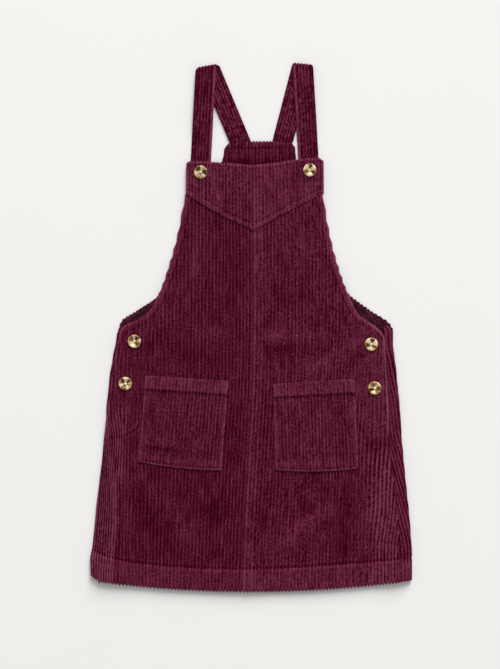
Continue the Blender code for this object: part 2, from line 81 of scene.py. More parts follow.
def knots(*pairs):
    return tuple(Knot(*pair) for pair in pairs)


def spots(*pairs):
    return tuple(Spot(*pair) for pair in pairs)


# ---- driving dimensions, as the solids have them ----
LENGTH = 636.0
CLOTH = 1.7
FACING = 1.4
FACING_HALF_WIDTH = 140.0
FACING_FOOT = 296.0
SEAM_GAP = 0.3
HEM_HALF_WIDTH = 193.0
HEM_RISE = 14.0
HEM_FADE = 60.0
BAND_WIDTH = 9.6
BAND_LIFT = 0.9
YOKE_WALL = 2.8
YOKE_COVER = 1.2  # how far the front runs up inside the yoke's seam
BED = 3.9
BED_DIP = 1.3
STRAP_WIDTH = 24.4
STRAP_THICK = 3.4
STRAP_UNDERLAP = 28.0
STRAP_TUCK = 1.2  # how far its back end is sewn in over the bib's top edge
POCKET_WIDTH = 100.0
POCKET_DEPTH = 108.0
POCKET_HEM = 18.0
POCKET_HEM_LIFT = 0.9
POCKET_LIP = 0.5
STAND_WIDTH = 30.0
STAND_FOOT = 206.0
BUTTON_RADIUS = 7.9
BUTTON_HOLE_RING = 1.9
BUTTON_SIDES = 96
BUTTON_FACE = (  # share of the radius, share of the thickness
    (0.0, 0.52), (0.25, 0.55), (0.45, 0.64), (0.62, 0.86), (0.74, 0.98), (0.82, 1.0), (0.90, 0.95),
    (0.96, 0.80), (1.0, 0.52),
)
BUTTON_FOOT = ((0.985, 0.30), (0.93, 0.12), (0.82, 0.02), (0.70, 0.0), (0.35, 0.0))
BACK_TOP = 541.6
TOP_ROLL = 1.4  # how far the back bib's top edge bulges
BACK_RISE = 1.5  # the facing's pile stands so far above the solid there
HEM_TOOTH = 2.9  # how far a wale stands out at the folded hem
HEM_SETBACK = 2.4  # how much higher the back's hem lies than the front's
ARMPIT = 322.0
CORNER = 3.0
RIDGE_HEIGHT = 2.7
RIDGE_INSET = 19.0
RIDGE_REACH = 24.0
SIDE_DROP = 3.0
SIDE_DROP_REACH = 17.0
SEAM_RAISE = 2.4
BIB_DROOP = 2.8
BIB_DROOP_REACH = 19.0
ROLL_RADIUS = 1.9
ROLL_FOOT = 4.2
ROLL_START = 0.12
UNDERLAP = 2.0
SEAM_OVERLAP = 1.6  # how far the back's side runs in against the front's rounded edge
STRAP_DESCENT = (58.0, 92.0)

# ---- corduroy ----
WALE = 4.15  # from one wale to the next
WALE_DEPTH = 0.78  # crown to groove
WALE_POINTS = (0.0, 0.10, 0.28, 0.5, 0.72, 0.90)  # where a wale is divided, as shares of its width
WALE_ROUND = 1.75
SHADED = -0.06  # painted shade: how much darker the cloth is painted inside the armholes
STRAP_PUCKER = 6.6  # from one crosswise pucker of a strap to the next
EDGE_ROLL = 1.7  # how far a folded edge bulges out
EDGE_SCALLOP = 1.5  # how much further the crowns bulge than the grooves
EDGE_STITCH = 8.4  # from an armhole edge in to its topstitching
RIM_TURNS = (45, 90, 135)

# ---- sewing ----
STITCH_SPACING = 3.7
THREAD_SIZE = (2.7, 0.5, 0.4)  # a stitch's length, width and height
STITCH_SINK = 0.25  # how far the thread beds into the pile
STITCH_SIZES = ("Spacing", "Length", "Width", "Rise")  # as the stitches' settings call them
SEWN = []  # stitched lines, noted by the pieces as they are made

MIDDLE = CLOTH / 2
TINY = 1e-9
UNEVEN_CELLS = 64
CORNER_CUTS = 3
SIDE_SPACING = 2.0
STROKE_START, STROKE_END = (-0.15, 0.25), (0.75, 1.15)

# ---- where each form begins and ends, in heights or in distances from an edge ----
HEM_MEETING = -10.0
DIP_FOOT, DIP_TOP, DIP_SIDES = (32, 95), (225, 290), (60, 135)
RIDGE_TOP, SKIRT_TOP, DROP_FOOT = (300, 345), (140, 200), (26, 60)
DROOP_FOOT, DROOP_TOP = (386, 416), (440, 474)
HEM_TURN, HEM_FOLD, HEM_PRESSED_TO = (-1.5, 1.2), (-2.0, 0.0), (150, 168)
ARMHOLE_LIFT, ARMHOLE_FOOT, ARMHOLE_TURN = 0.7, (300, 330), (EDGE_STITCH - 1.5, EDGE_STITCH + 1.0)
ARMHOLE_PRESSED, ARMHOLE_FREE = (308, 330), (380, 430)
PLACKET_LIFT, PLACKET_FOOT, PLACKET_TURN = 0.5, (196, 206), (3.0, 6.0)
PLACKET_PRESSED, PLACKET_FREE, PLACKET_REACH = (188, 198), (318, 336), (28, 38)
FRONT_WAVE, WAVE_INSET, WANDER = 0.35, (4, 20), 0.28
SCALLOP_LOW, SCALLOP_HIGH, SCALLOP_RIGHT = (290, 320), (350, 372), (180, 200)
HEM_EASE, FRONT_TOP, FRONT_WALES, FRONT_ROWS = 0.4, 484.0, 49, 148
SHORT_COLUMN, SHORTEST_WALE, SHORTEST_FACING = 70.0, 6.0, 4.0
CORNER_TOOTH, SEAM_BULGE, V_BULGE, THINNEST = 1.6, 0.12, 0.6, 0.4
HEM_PRESSED, FLATTENING, FLAT_PILE, UNDER_PILE, RIM_PILE = 0.6, 0.7, 0.72, 0.55, 0.35
STRAP_LIFT, BUTTON_DENT, V_TURN = 0.8, 0.55, (4.0, 7.0)
POCKET_TURN_LIFT, POCKET_TURN, POCKET_DENT, POCKET_SWELL = 0.55, (6.5, 9.0), 21.0, 1.3
POCKET_WALES, POCKET_SCALLOP = 24, 0.45
HOLE_EDGE, HOLE_FLOOR, RAGGEDNESS, THREAD_RADIUS = (0.84, 1.04), 0.2, 14, 0.55
THREAD_SHARES = (1.02, 0.9, 0.5, 0.0, -0.5, -0.9, -1.02)
THREAD_SAG = (-1.1, -0.1, 0.1, 0.16, 0.1, -0.1, -1.1)
STRAP_ROLL, STRAP_WALES, STRAP_STITCH = 1.25, 6, STRAP_WIDTH / 2 - 3.4
ROLL_TURNS = (25, 38, 51, 64, 77, 90)
SEAM_LOWERED, SIDE_TUCKED, HEM_SEAM_RAISED = (168, 182), (186, 196), (25, 31)
ROLL_ENDS, LEFT_ROLL_STARTS = (313, 326), (205, 250)
RAISED, TILT_REACH, ARMHOLE_SHOWN = (1.2, 3.0), 0.6, (350, 366)
BACK_WALES, BACK_WALE_POINTS, BACK_EASE = (-51, 55), (0.0, 0.16, 0.5, 0.84), 0.985
LEAN, LEAN_HEIGHTS, LEAN_WALES = 0.085, (45, 75), (36, 42)
FACING_WALES, FACING_WALE_POINTS, FACING_EASE = (-34, 34), (0.0, 0.12, 0.34, 0.66, 0.88), 0.98
STAND_WALES, STAND_TOP = 7, 292.0
BACK_LOT, FACING_LOT, STAND_LOT = 3.1, 3.7, 4.2

# ---- how far each stitched line draws the cloth in, and over what width ----
HEM_PULL, EDGE_PULL, PLACKET_EDGE_PULL, BAND_PULL = (0.9, 1.5), (0.3, 1.2), (0.35, 0.9), (0.22, 0.8)
ARMHOLE_STITCHED, PLACKET_TOP, PLACKET_STITCH = (318.0, 474.0), 314.0, 3.2
BAND_LINES, BAND_ON_FRONT, BAND_ON_YOKE = (1.7, BAND_WIDTH - 1.4), (2.0, 436.0), (438.0, 514.0)
SEW_INSET, V_STITCH, YOKE_TOP_STITCH = 1.5, 7.4, 3.6
YOKE_SIDE_STITCHED, YOKE_SIDE_STITCH = (480, 512), 5.2
FACING_STITCHED, FACING_SIDE_STITCH, FACING_TOP_STITCH = (326.0, 534.0), 7.0, 7.6

# ---- how light the nap lies, with painted highlights and painted shade: shares of the way from dark to light ----
HEM_TONE, SKIRT_SHADE, SKIRT_SHADE_TOP = 0.26, 0.05, (120, 220)
EDGING_TONE, EDGING_FOOT, CREASE_SHADING, BAND_TONE = 0.22, (300, 335), 0.22, 0.04
PLACKET_TONE, PLACKET_TONE_REACH, PLACKET_LINE_AT = 0.08, (26, 32), 1.9
PLACKET_LIGHT_FOOT, PLACKET_LIGHT_TOP = (186, 200), (316, 326)
LEFT_TONE, LEFT_TONE_REACH, LEFT_TONE_FOOT = 0.16, (150, 172), (180, 210)
RIGHT_TONE, RIGHT_SIDE_TONE, RIGHT_TONE_REACH, RIGHT_TONE_FOOT = 0.07, 0.10, (100, 160), (10, 120)
YOKE_TONE, POCKET_TONE = 0.20, 0.10
# painted highlights along the armhole's folded edge, the centre seam and the lapped band's edge; painted
# highlight along the left fold and painted shade beyond it
ARMHOLE_HIGHLIGHT = Line(0.5, 1.8, 1.1)
CENTRE_HIGHLIGHT = Line(0.8, 0.9, 1.0)
BAND_HIGHLIGHT = Line(0.3, BAND_WIDTH - 0.6, 1.0)
RIDGE_LIGHT = Line(0.36, 0.0, 3.4)
RIDGE_SHADE = Line(-0.26, 5.5, 2.6)
ARMPIT_EASE = Line(1.1, 336.0, 13.0)
# painted highlights along the yoke's top edge and along its centre seam and band
YOKE_TOP_HIGHLIGHT = Line(0.42, 2.2, 2.2)
YOKE_CENTRE_HIGHLIGHT = Line(0.6, 0.9, 1.0)
YOKE_BAND_HIGHLIGHT = Line(0.45, BAND_WIDTH - 0.6, 1.0)
EDGE_SUNK = Line(-0.55, 3.0, 0.9)
HEM_SUNK = Line(-0.75, 0.0, 1.3)
HEM_RAISED = Line(0.25, -2.8, 1.6)
# painted highlight just inside the pocket's edges, and painted shade in its sunk edge stitching
POCKET_EDGE_HIGHLIGHT = Line(0.58, 1.6, 1.0)
POCKET_EDGE_SHADE = Line(-0.22, 3.2, 0.9)
# painted highlight along the back's armhole rim, and painted shadow under the front's edge
RIM_LIGHT = Line(0.26, 0.0, 2.6)
RIM_SHADE = Line(-0.24, 8.0, 2.4)

# ---- grain and colours of the finishes ----
PER_WALE = 1 / (WALE * MM)
TUFTS = Grain((PER_WALE * 1.9, PER_WALE * 1.7, 9.0), 1.0, 0.5)
DASHES = Grain((PER_WALE * 1.3, PER_WALE * 0.22, 9.0), 1.0, 0.5)
SPECKS = Grain((PER_WALE * 3.6, PER_WALE * 3.0, 9.0), 2.0, 0.6)
BRUSHING = Grain((62.0, 40.0, 9.0), 3.0, 0.6)
CLOUDS = Grain((15.0, 11.0, 9.0), 2.0, 0.5)
PATCHES = Grain((26.0, 17.0, 9.0), 3.0, 0.6)
FIBRES = Grain((2600.0, 1500.0, 9.0), 2.0, 0.6)
FANS = Grain(None, 1.0, 0.4, 2.1)
VEINS = Grain(None, 3.0, 0.6, 7.0)
TWIST = Grain(None, 2.0, 0.6, 2600.0)
FLOOR_GRAIN = Grain(None, 2.0, 0.5, 9.0)
# the pile heights over which each wale's crown is painted lighter than its groove
CROWN_LIGHT_PILE, RUBBED_PATCHES, PILE_TONE = (0.58, 1.0), (0.42, 0.66), 0.33
# the painted shade inside the armholes, as shares of the cloth's colour
ARMHOLE_SHADE_DARK, ARMHOLE_SHADE_LIGHT = (0.45, 1.2, 0.67), (1.3, 4.1, 1.85)
PILE_TONES = (
    (0.05, (0.48, 0.0, 0.32)), (0.30, (1.0, 1.0, 1.0)), (0.60, (1.77, 4.3, 2.6)), (1.0, (2.8, 9.6, 4.7)),
)
HORN_TONES = (
    (0.22, (0.022, 0.009, 0.002)), (0.38, (0.12, 0.048, 0.007)), (0.50, (0.29, 0.150, 0.040)),
    (0.62, (0.57, 0.38, 0.155)), (0.82, (0.92, 0.77, 0.50)),
)
# painted shade in the buttons' drilled holes
HOLE_SHADE_COLOUR = (0.012, 0.006, 0.004)

# ---- surface, camera and lights, in metres ----
SURFACE_WIDTH = 12.0
SENSOR_WIDTH = 36.0
CAMERA_PLACE, CAMERA_AIM_HEIGHT = (-0.0014, -0.0082), 0.006
KEY_SIZE, KEY_PLACE = (5.5, 11.0), (2.6, 12.0, 8.5)
FILL_COLOUR = (1.0, 0.995, 0.985, 1)

# ---- edges, from the hem upwards ----
LEFT_OUTLINE = knots(
    (3, -186.4), (8, -192.4), (21, -194.4), (39, -194.6), (52, -192.4), (87, -188.9), (123, -184.9),
    (159, -180.7), (195, -177.1), (231, -173.3), (255, -171.0), (302, -163.0), (318, -159.8), (322, -157.6),
)
RIGHT_OUTLINE = knots(
    (3, 193.2), (8, 193.6), (34, 193.6), (49, 193.4), (87, 191.0), (123, 187.4), (159, 183.8), (195, 180.9),
    (231, 178.8), (255, 176.0), (279, 173.5), (300, 171.3), (312, 171.4), (318, 170.8), (322, 168.0),
)
FRONT_LEFT_SIDE = knots(
    (3, -184.6), (8, -191.2), (21, -193.4), (39, -193.6), (52, -191.4), (87, -187.9), (123, -183.9),
    (159, -179.7), (183, -177.3), (219, -173.2), (256, -168.2), (302, -160.2), (314, -158.0), (321, -151.4),
    (327.5, -138.2), (337, -125.4), (354, -113.6), (399, -97.4), (442, -86.4), (459, -83.4), (476, -79.8),
    (481, -79.4),
)
FRONT_RIGHT_SIDE = knots(
    (3, 178.4), (39, 179.0), (62, 178.6), (81, 177.0), (129, 171.6), (186, 167.5), (232, 164.4),
    (283, 162.4), (307, 159.8), (320, 149.0), (332, 132.6), (354, 119.0), (399, 102.9), (432, 94.8),
    (474, 87.6), (481, 86.8),
)
BACK_LEFT_ARMHOLE = knots(
    (322, -158.2), (326, -156.2), (340, -135.0), (354, -114.3), (395, -78.0), (440, -58.0), (480, -44.0),
    (518, -35.0), (531, -32.4), (537, -30.0), (BACK_TOP, -25.0),
)
BACK_RIGHT_ARMHOLE = knots(
    (322, 167.4), (325, 164.8), (328, 160.6), (339.5, 142.2), (351.5, 125.6), (357, 118.9), (400, 84.0),
    (440, 67.0), (480, 57.5), (518, 54.4), (531, 53.2), (537, 51.6), (BACK_TOP, 47.0),
)
CENTRE_SEAM = knots((-2, -10.8), (86, -7.4), (166, -2.9), (259, 1.8), (351, 3.0), (520, 1.6))
YOKE_LEFT_LOWER = spots((3.4, 434.5), (-24.6, 447.5), (-52.2, 462.3), (-78.5, 478.7))
YOKE_RIGHT_LOWER = spots((3.4, 434.5), (30.5, 450.0), (58.1, 464.6), (86.3, 478.7))
BIB_LEFT_TOP = spots((1.6, 513.7), (-30.4, 516.6), (-48.7, 517.8), (-74.0, 518.9), (-78.8, 512.5))
BIB_RIGHT_TOP = spots((1.6, 513.7), (37.0, 517.8), (55.3, 521.0), (82.6, 522.2), (87.2, 515.5))
BIB_LEFT_SIDE = knots((478, -78.6), (495, -78.2), (512.5, -78.0))
BIB_RIGHT_SIDE = knots((478, 86.6), (495, 87.4), (514.5, 87.0))

# ---- how the wales run on the front: straight from the hem at first, drawn in towards the sides ----
LEFT_WALES = (
    Wale(17, knots((15, -80.6), (111, -77.0), (187, -73.4), (259, -68.6), (351, -67.4), (483, -67.0))),
    Wale(34, knots(
        (15, -151.2), (54, -150.7), (111, -149.6), (187, -148.7), (231, -147.2), (297, -145.4),
        (327, -144.2), (483, -144.2),
    )),
    Wale(37, knots(
        (15, -164.0), (51, -162.2), (87, -160.7), (135, -160.7), (151, -159.6), (183, -158.0),
        (192, -158.0), (207, -159.8), (223, -161.0), (237, -161.6), (297, -158.6), (327, -158.0),
        (483, -158.0),
    )),
    Wale(42.5, knots(
        (15, -181.4), (43, -180.2), (75, -178.4), (99, -176.6), (123, -175.4), (151, -174.2), (177, -173.0),
        (192, -173.6), (207, -179.0), (231, -181.4), (483, -181.4),
    )),
    Wale(46, knots(
        (15, -191.6), (34, -192.7), (49, -190.6), (117, -184.8), (183, -178.4), (195, -180.2),
        (210, -186.2), (231, -193.4), (297, -195.8), (483, -195.8),
    )),
    Wale(50, knots((15, -208.0), (231, -208.0), (483, -210.0))),
)
RIGHT_WALES = (
    Wale(17, knots((15, 60.1), (111, 64.1), (187, 68.2), (259, 72.1), (351, 73.3), (483, 73.7))),
    Wale(34, knots(
        (15, 130.6), (51, 130.6), (87, 131.2), (111, 132.4), (171, 133.6), (195, 134.8), (259, 137.8),
        (297, 140.2), (327, 141.4), (483, 141.4),
    )),
    Wale(37.3, knots(
        (15, 144.4), (54, 144.4), (75, 145.6), (99, 148.0), (123, 148.6), (147, 149.2), (165, 150.4),
        (183, 151.6), (231, 151.9), (297, 153.4), (483, 154.6),
    )),
    Wale(40.3, knots(
        (15, 157.0), (54, 157.0), (75, 159.4), (99, 162.4), (141, 163.6), (159, 164.8), (177, 166.6),
        (231, 166.6), (483, 167.8),
    )),
    Wale(43, knots(
        (15, 167.8), (51, 167.8), (75, 170.2), (99, 173.2), (135, 175.6), (159, 177.4), (195, 178.6),
        (483, 178.6),
    )),
    Wale(46.5, knots(
        (15, 181.6), (51, 181.6), (75, 184.0), (99, 187.0), (135, 189.4), (159, 191.8), (195, 193.0),
        (483, 193.0),
    )),
    Wale(50, knots((15, 200.0), (483, 210.0))),
)

# ---- buttons and straps ----
BUTTONS = (  # the last is where its brown patches point, how far they reach round and how dark they are
    Button(
        "button_bib_left", -60.5, 504.5,
        ((0, 30, 1.0), (130, 38, 0.72), (-105, 42, 0.42), (55, 14, 0.25)),
    ),
    Button("button_bib_right", 70.3, 507.0, ((85, 22, 1.0), (205, 28, 0.50), (-30, 34, 0.80))),
    Button("button_side_left_upper", -140.0, 301.6, ((50, 26, 1.0), (140, 36, 0.55), (-42, 28, 0.70))),
    Button(
        "button_side_left_lower", -150.8, 251.0,
        ((135, 30, 0.82), (35, 32, 0.66), (-112, 32, 0.70), (-20, 12, 0.3)),
    ),
    Button("button_side_right_upper", 144.0, 298.1, ((72, 24, 0.95), (195, 36, 0.72), (-40, 30, 0.62))),
    Button(
        "button_side_right_lower", 148.0, 245.6,
        ((208, 20, 1.0), (100, 36, 0.52), (-8, 30, 0.62), (-58, 18, 0.45)),
    ),
)
LEGS = (
    Leg("strap_left", Spot(-60.5, 518.4), Spot(-54.3, 633.2), Spot(-16.0, BACK_TOP), 3.0, 2.1),
    Leg("strap_right", Spot(68.9, 522.0), Spot(62.0, 635.9), Spot(37.6, BACK_TOP), 0.0, 2.6),
)

# ---- stitched lines and soft creases on the front ----
RIDGE_LINE = np.array([  # a soft fold down the left side
    (-169.4, 0.0), (-168.9, 25.0), (-162.8, 87.2), (-164.0, 119.6), (-167.6, 152.0), (-173.0, 183.2),
    (-173.6, 231.2), (-171.0, 290.0),
])
HEM_LEFT = spots(
    (-195.8, 54.8), (-186.2, 48.8), (-160.6, 39.7), (-119.4, 33.8), (-71.5, 30.5), (-9.8, 28.9),
)
HEM_RIGHT = spots((-11.0, 28.9), (58.6, 31.1), (110.9, 34.8), (142.4, 37.7), (183.0, 41.0))
PLACKET_LEFT = spots(
    (-124.4, 317.0), (-124.1, 291.2), (-124.4, 264.8), (-125.6, 243.2), (-127.4, 219.2), (-130.5, 205.0),
    (-137.5, 196.0), (-151.4, 188.6), (-168.2, 184.9),
)
PLACKET_RIGHT = spots(
    (127.0, 318.0), (127.0, 255.2), (128.2, 207.2), (130.2, 196.0), (135.0, 192.4), (164.2, 192.8),
)
CREASES_LEFT = (
    Crease((-127.0, 310.0), (-60.0, 276.0), 11.0, -0.4),
    Crease((-74.0, 318.0), (-38.0, 310.0), 6.6, 0.42),
    Crease((-146.0, 121.0), (-96.0, 46.0), 9.9, -0.48),
    Crease((-112.0, 128.0), (-64.0, 52.0), 9.9, 0.42),
    Crease((-46.0, 106.0), (-30.0, 84.0), 15.4, -0.48),
    Crease((-61.0, 452.0), (-70.0, 374.0), 5.5, 0.36),
)
CREASES_RIGHT = (
    Crease((8.0, 307.0), (96.0, 310.0), 8.0, 0.35),
    Crease((12.0, 288.0), (100.0, 296.0), 8.8, -0.42),
    Crease((66.0, 264.0), (128.0, 303.0), 6.1, 0.54),
    Crease((102.0, 262.0), (140.0, 292.0), 5.5, -0.42),
    Crease((30.0, 58.0), (104.0, 104.0), 11.0, 0.54),
    Crease((112.0, 112.0), (112.0, 42.0), 6.6, -0.42),
)
RUBBED_LEFT = (  # where the pile is worn smooth
    Stroke((-112.0, 128.0), (-60.0, 50.0), 14.0, 0.5),
    Stroke((-70.0, 318.0), (-6.0, 310.0), 9.0, 0.4),
    Stroke((-150.0, 320.0), (-118.0, 346.0), 16.0, 0.4),
)
RUBBED_RIGHT = (
    Stroke((22.0, 52.0), (100.0, 112.0), 32.0, 0.9),
    Stroke((20.0, 112.0), (112.0, 68.0), 34.0, 0.75),
    Stroke((128.0, 120.0), (134.0, 60.0), 14.0, 0.4),
    Stroke((100.0, 300.0), (140.0, 330.0), 26.0, 0.6),
    Stroke((16.0, 309.0), (90.0, 310.0), 9.0, 0.4),
)
YOKE_CREASES = (
    Crease((-76.0, 494.0), (-62.0, 486.0), 3.0, 0.9),
    Crease((-74.0, 487.5), (-60.0, 480.0), 2.6, -0.7),
    Crease((72.0, 488.0), (84.0, 492.0), 3.0, 0.7),
)
# strokes painted lighter or darker; along the creases they are painted light on the ridges and painted shade
# in the troughs
STROKES_LEFT = (
    Stroke((-60.4, 454.8), (-69.5, 373.2), 6.0, 0.12),
    Stroke((-96.2, 381.2), (-114.2, 329.6), 8.4, 0.08),
    Stroke((-67.4, 297.2), (-35.0, 310.4), 8.4, 0.06),
    Stroke((-121.4, 308.8), (-55.4, 273.2), 15.0, -0.10),
    Stroke((-55.4, 291.2), (-15.8, 276.8), 10.8, -0.1),
    Stroke((-24.2, 429.2), (-23.0, 363.2), 15.6, -0.07),
    Stroke((-19.4, 249.2), (-21.8, 147.2), 9.6, -0.1),
    Stroke((-56.0, 112.0), (-34.0, 84.0), 24.0, -0.15),
    Stroke((-137.4, 124.0), (-92.2, 42.2), 9.6, -0.1),
    Stroke((-115.4, 128.0), (-66.2, 53.6), 9.6, 0.07),
    Stroke((-155.0, 147.2), (-150.2, 39.2), 10.8, 0.1),
    Stroke((-125.0, 237.2), (-125.0, 207.2), 3.6, -0.1),
    Stroke((-121.4, 207.2), (-159.8, 186.8), 10.8, 0.04),
)
# strokes painted lighter or darker; along the creases they are painted light on the ridges and painted shade
# in the troughs
STROKES_RIGHT = (
    Stroke((8.0, 307.8), (92.0, 309.7), 8.0, 0.09),
    Stroke((14.2, 287.6), (100.6, 296.0), 10.8, -0.1),
    Stroke((65.8, 263.6), (127.0, 303.2), 6.0, 0.13),
    Stroke((103.0, 262.4), (140.2, 292.4), 6.0, -0.1),
    Stroke((65.8, 461.6), (70.6, 437.6), 9.6, -0.11),
    Stroke((57.4, 432.8), (76.6, 384.8), 4.2, 0.07),
    Stroke((14.2, 249.2), (15.4, 147.2), 8.4, -0.08),
    Stroke((13.0, 126.8), (13.0, 63.2), 10.8, -0.11),
    Stroke((29.8, 57.2), (104.2, 104.0), 12.0, 0.12),
    Stroke((112.0, 113.6), (112.0, 39.2), 7.2, -0.13),
    Stroke((154.6, 141.2), (159.4, 44.0), 16.8, 0.06),
    # painted shadow under the right placket's foot
    Stroke((134.0, 181.0), (166.0, 181.0), 5.0, -0.26),
    Stroke((145.0, 176.0), (147.4, 164.0), 6.0, -0.18),
    Stroke((22.6, 396.8), (80.2, 363.2), 14.4, -0.06),
    Stroke((112.6, 351.2), (145.0, 317.6), 9.6, 0.1),
)
YOKE_STROKES = (
    Stroke((52.6, 507.2), (52.6, 479.6), 10.8, -0.1),
    Stroke((-54.2, 500.0), (-42.2, 473.6), 9.6, 0.06),
    Stroke((-15.8, 480.8), (-5.0, 458.0), 6.0, -0.1),
    Stroke((22.6, 500.0), (25.0, 483.2), 8.4, 0.06),
)


# ---- curves ----


def through(at, out, x):
    """Smooth monotone curves through each row of out, which is known at the positions at, read at x."""
    rise = np.diff(out, axis=1) / np.diff(at)
    slope = np.zeros(out.shape)
    before, after = rise[:, :-1], rise[:, 1:]
    same = before * after > 0
    slope[:, 1:-1] = np.where(same, 2 * before * after / np.where(same, before + after, 1), 0)
    slope[:, 0], slope[:, -1] = rise[:, 0], rise[:, -1]
    shape = np.shape(x)
    x = np.ravel(x)
    k = np.clip(np.searchsorted(at, x) - 1, 0, len(at) - 2)
    width = at[k + 1] - at[k]
    t = (x - at[k]) / width
    start = (1 + 2 * t) * (1 - t) ** 2 * out[:, k] + t * (1 - t) ** 2 * width * slope[:, k]
    end = t * t * (3 - 2 * t) * out[:, k + 1] + t * t * (t - 1) * width * slope[:, k + 1]
    return (start + end).reshape(out.shape[:1] + shape)


def curve_through(at, out):
    """A smooth curve that never swings past what it runs through, as a function of one number."""
    at, out = np.array(at, float), np.array(out, float)
    if at[0] > at[-1]:
        at, out = at[::-1], out[::-1]
    return lambda x: through(at, out[None, :], np.clip(x, at[0], at[-1]))[0]


def edge(knots):
    """An edge up the dress: its place across by height."""
    return curve_through([k.height for k in knots], [k.across for k in knots])


def line(spots):
    """A line across the dress: its height by place across."""
    return curve_through([s.across for s in spots], [s.height for s in spots])


def step(value, low, high):
    """Rises smoothly from 0 at low to 1 at high."""
    t = np.clip((value - low) / (high - low), 0, 1)
    return t * t * (3 - 2 * t)


def until(value, low, high):
    """Falls smoothly from 1 at low to 0 at high."""
    return 1 - step(value, low, high)


def bump(value, width):
    """1 at nothing, and fading over about a width on both sides."""
    return np.exp(-((value / width) ** 2))


def uneven(x, y, size, seed):
    """Smooth unevenness from -1 to 1 that changes over about size."""
    table = np.random.default_rng(seed).uniform(-1, 1, (UNEVEN_CELLS, UNEVEN_CELLS))
    u, v = np.asarray(x) / size, np.asarray(y) / size
    i, j = np.floor(u).astype(int), np.floor(v).astype(int)
    s, t = step(u - i, 0, 1), step(v - j, 0, 1)
    i, j = i % UNEVEN_CELLS, j % UNEVEN_CELLS
    next_i, next_j = (i + 1) % UNEVEN_CELLS, (j + 1) % UNEVEN_CELLS
    low = table[i, j] * (1 - s) + table[next_i, j] * s
    high = table[i, next_j] * (1 - s) + table[next_i, next_j] * s
    return low * (1 - t) + high * t


def distance(x, y, path):
    """How far each point is from a path of spots."""
    path = np.array(path, float)
    start, run = path[:-1], np.diff(path, axis=0)
    squares = (run**2).sum(axis=1)
    flat = np.stack([np.ravel(x), np.ravel(y)], axis=-1)
    best = np.full(len(flat), np.inf)
    for a, r, square in zip(start, run, squares):
        t = np.clip((flat - a) @ r / square, 0, 1)
        best = np.minimum(best, np.linalg.norm(flat - a - t[:, None] * r, axis=1))
    return best.reshape(np.shape(x))


def run_of(path):
    """How far along a path each of its points is."""
    return np.concatenate([[0], np.cumsum(np.linalg.norm(np.diff(path, axis=0), axis=1))])


def read_at(path, run, at):
    """The spots of a path at some distances along it."""
    return np.stack([np.interp(at, run, path[:, 0]), np.interp(at, run, path[:, 1])], axis=-1)


def smooth_path(spots, spacing=4.0):
    """A path through the spots, rounded by cutting its corners, with evenly spaced points."""
    points = np.array(spots, float)
    for _ in range(CORNER_CUTS):
        quarter = points[:-1] * 0.75 + points[1:] * 0.25
        three = points[:-1] * 0.25 + points[1:] * 0.75
        middle = np.stack([quarter, three], axis=1).reshape(-1, 2)
        points = np.concatenate([points[:1], middle, points[-1:]])
    run = run_of(points)
    return read_at(points, run, np.linspace(0, run[-1], max(2, round(run[-1] / spacing) + 1)))


def offset(path, reach):
    """The path moved sideways by reach, to the left of its direction."""
    along = np.gradient(path, axis=0)
    along /= np.linalg.norm(along, axis=1, keepdims=True)
    return path + np.stack([-along[:, 1], along[:, 0]], axis=-1) * reach


def side_path(side, low, high, inset):
    """A line inside an edge, by a distance measured square to it."""
    heights = np.arange(low, high, SIDE_SPACING)
    path = np.stack([side(heights), heights], axis=-1)
    return offset(path, -inset if side(low) < 0 else inset)


def square_inset(side, x, height):
    """How far inside a side edge a point is, measured square to the edge."""
    slope = (side(height + 1) - side(height - 1)) / 2
    return np.abs(side(height) - x) / np.sqrt(1 + slope**2)


def stroke_share(x, height, mark):
    """1 along the middle of a crease or a stroke, fading to its sides and its ends."""
    start, end = np.array(mark.start, float), np.array(mark.end, float)
    run = end - start
    long = np.linalg.norm(run)
    along = ((x - start[0]) * run[0] + (height - start[1]) * run[1]) / long**2
    away = ((x - start[0]) * run[1] - (height - start[1]) * run[0]) / long
    return step(along, *STROKE_START) * until(along, *STROKE_END) * bump(away, mark.width)


def creased(z, x, height, creases, share=1.0):
    """Adds soft ridges, or troughs where their height is negative; applied to the nap it paints light on
    ridges and shade in troughs.
    """
    for crease in creases:
        z = z + share * crease.height * stroke_share(x, height, crease)
    return z


def stroked(nap, x, height, strokes):
    """Adds strokes that make the cloth lighter or darker; some are painted light and shade on creases and
    under a placket.
    """
    for stroke in strokes:
        nap = nap + stroke.tone * stroke_share(x, height, stroke)
    return nap


LEFT_OUT, RIGHT_OUT = edge(LEFT_OUTLINE), edge(RIGHT_OUTLINE)
LEFT_SIDE, RIGHT_SIDE = edge(FRONT_LEFT_SIDE), edge(FRONT_RIGHT_SIDE)
LEFT_ARMHOLE, RIGHT_ARMHOLE = edge(BACK_LEFT_ARMHOLE), edge(BACK_RIGHT_ARMHOLE)
CENTRE = edge(CENTRE_SEAM)
HEM_LINES = line(HEM_LEFT), line(HEM_RIGHT)

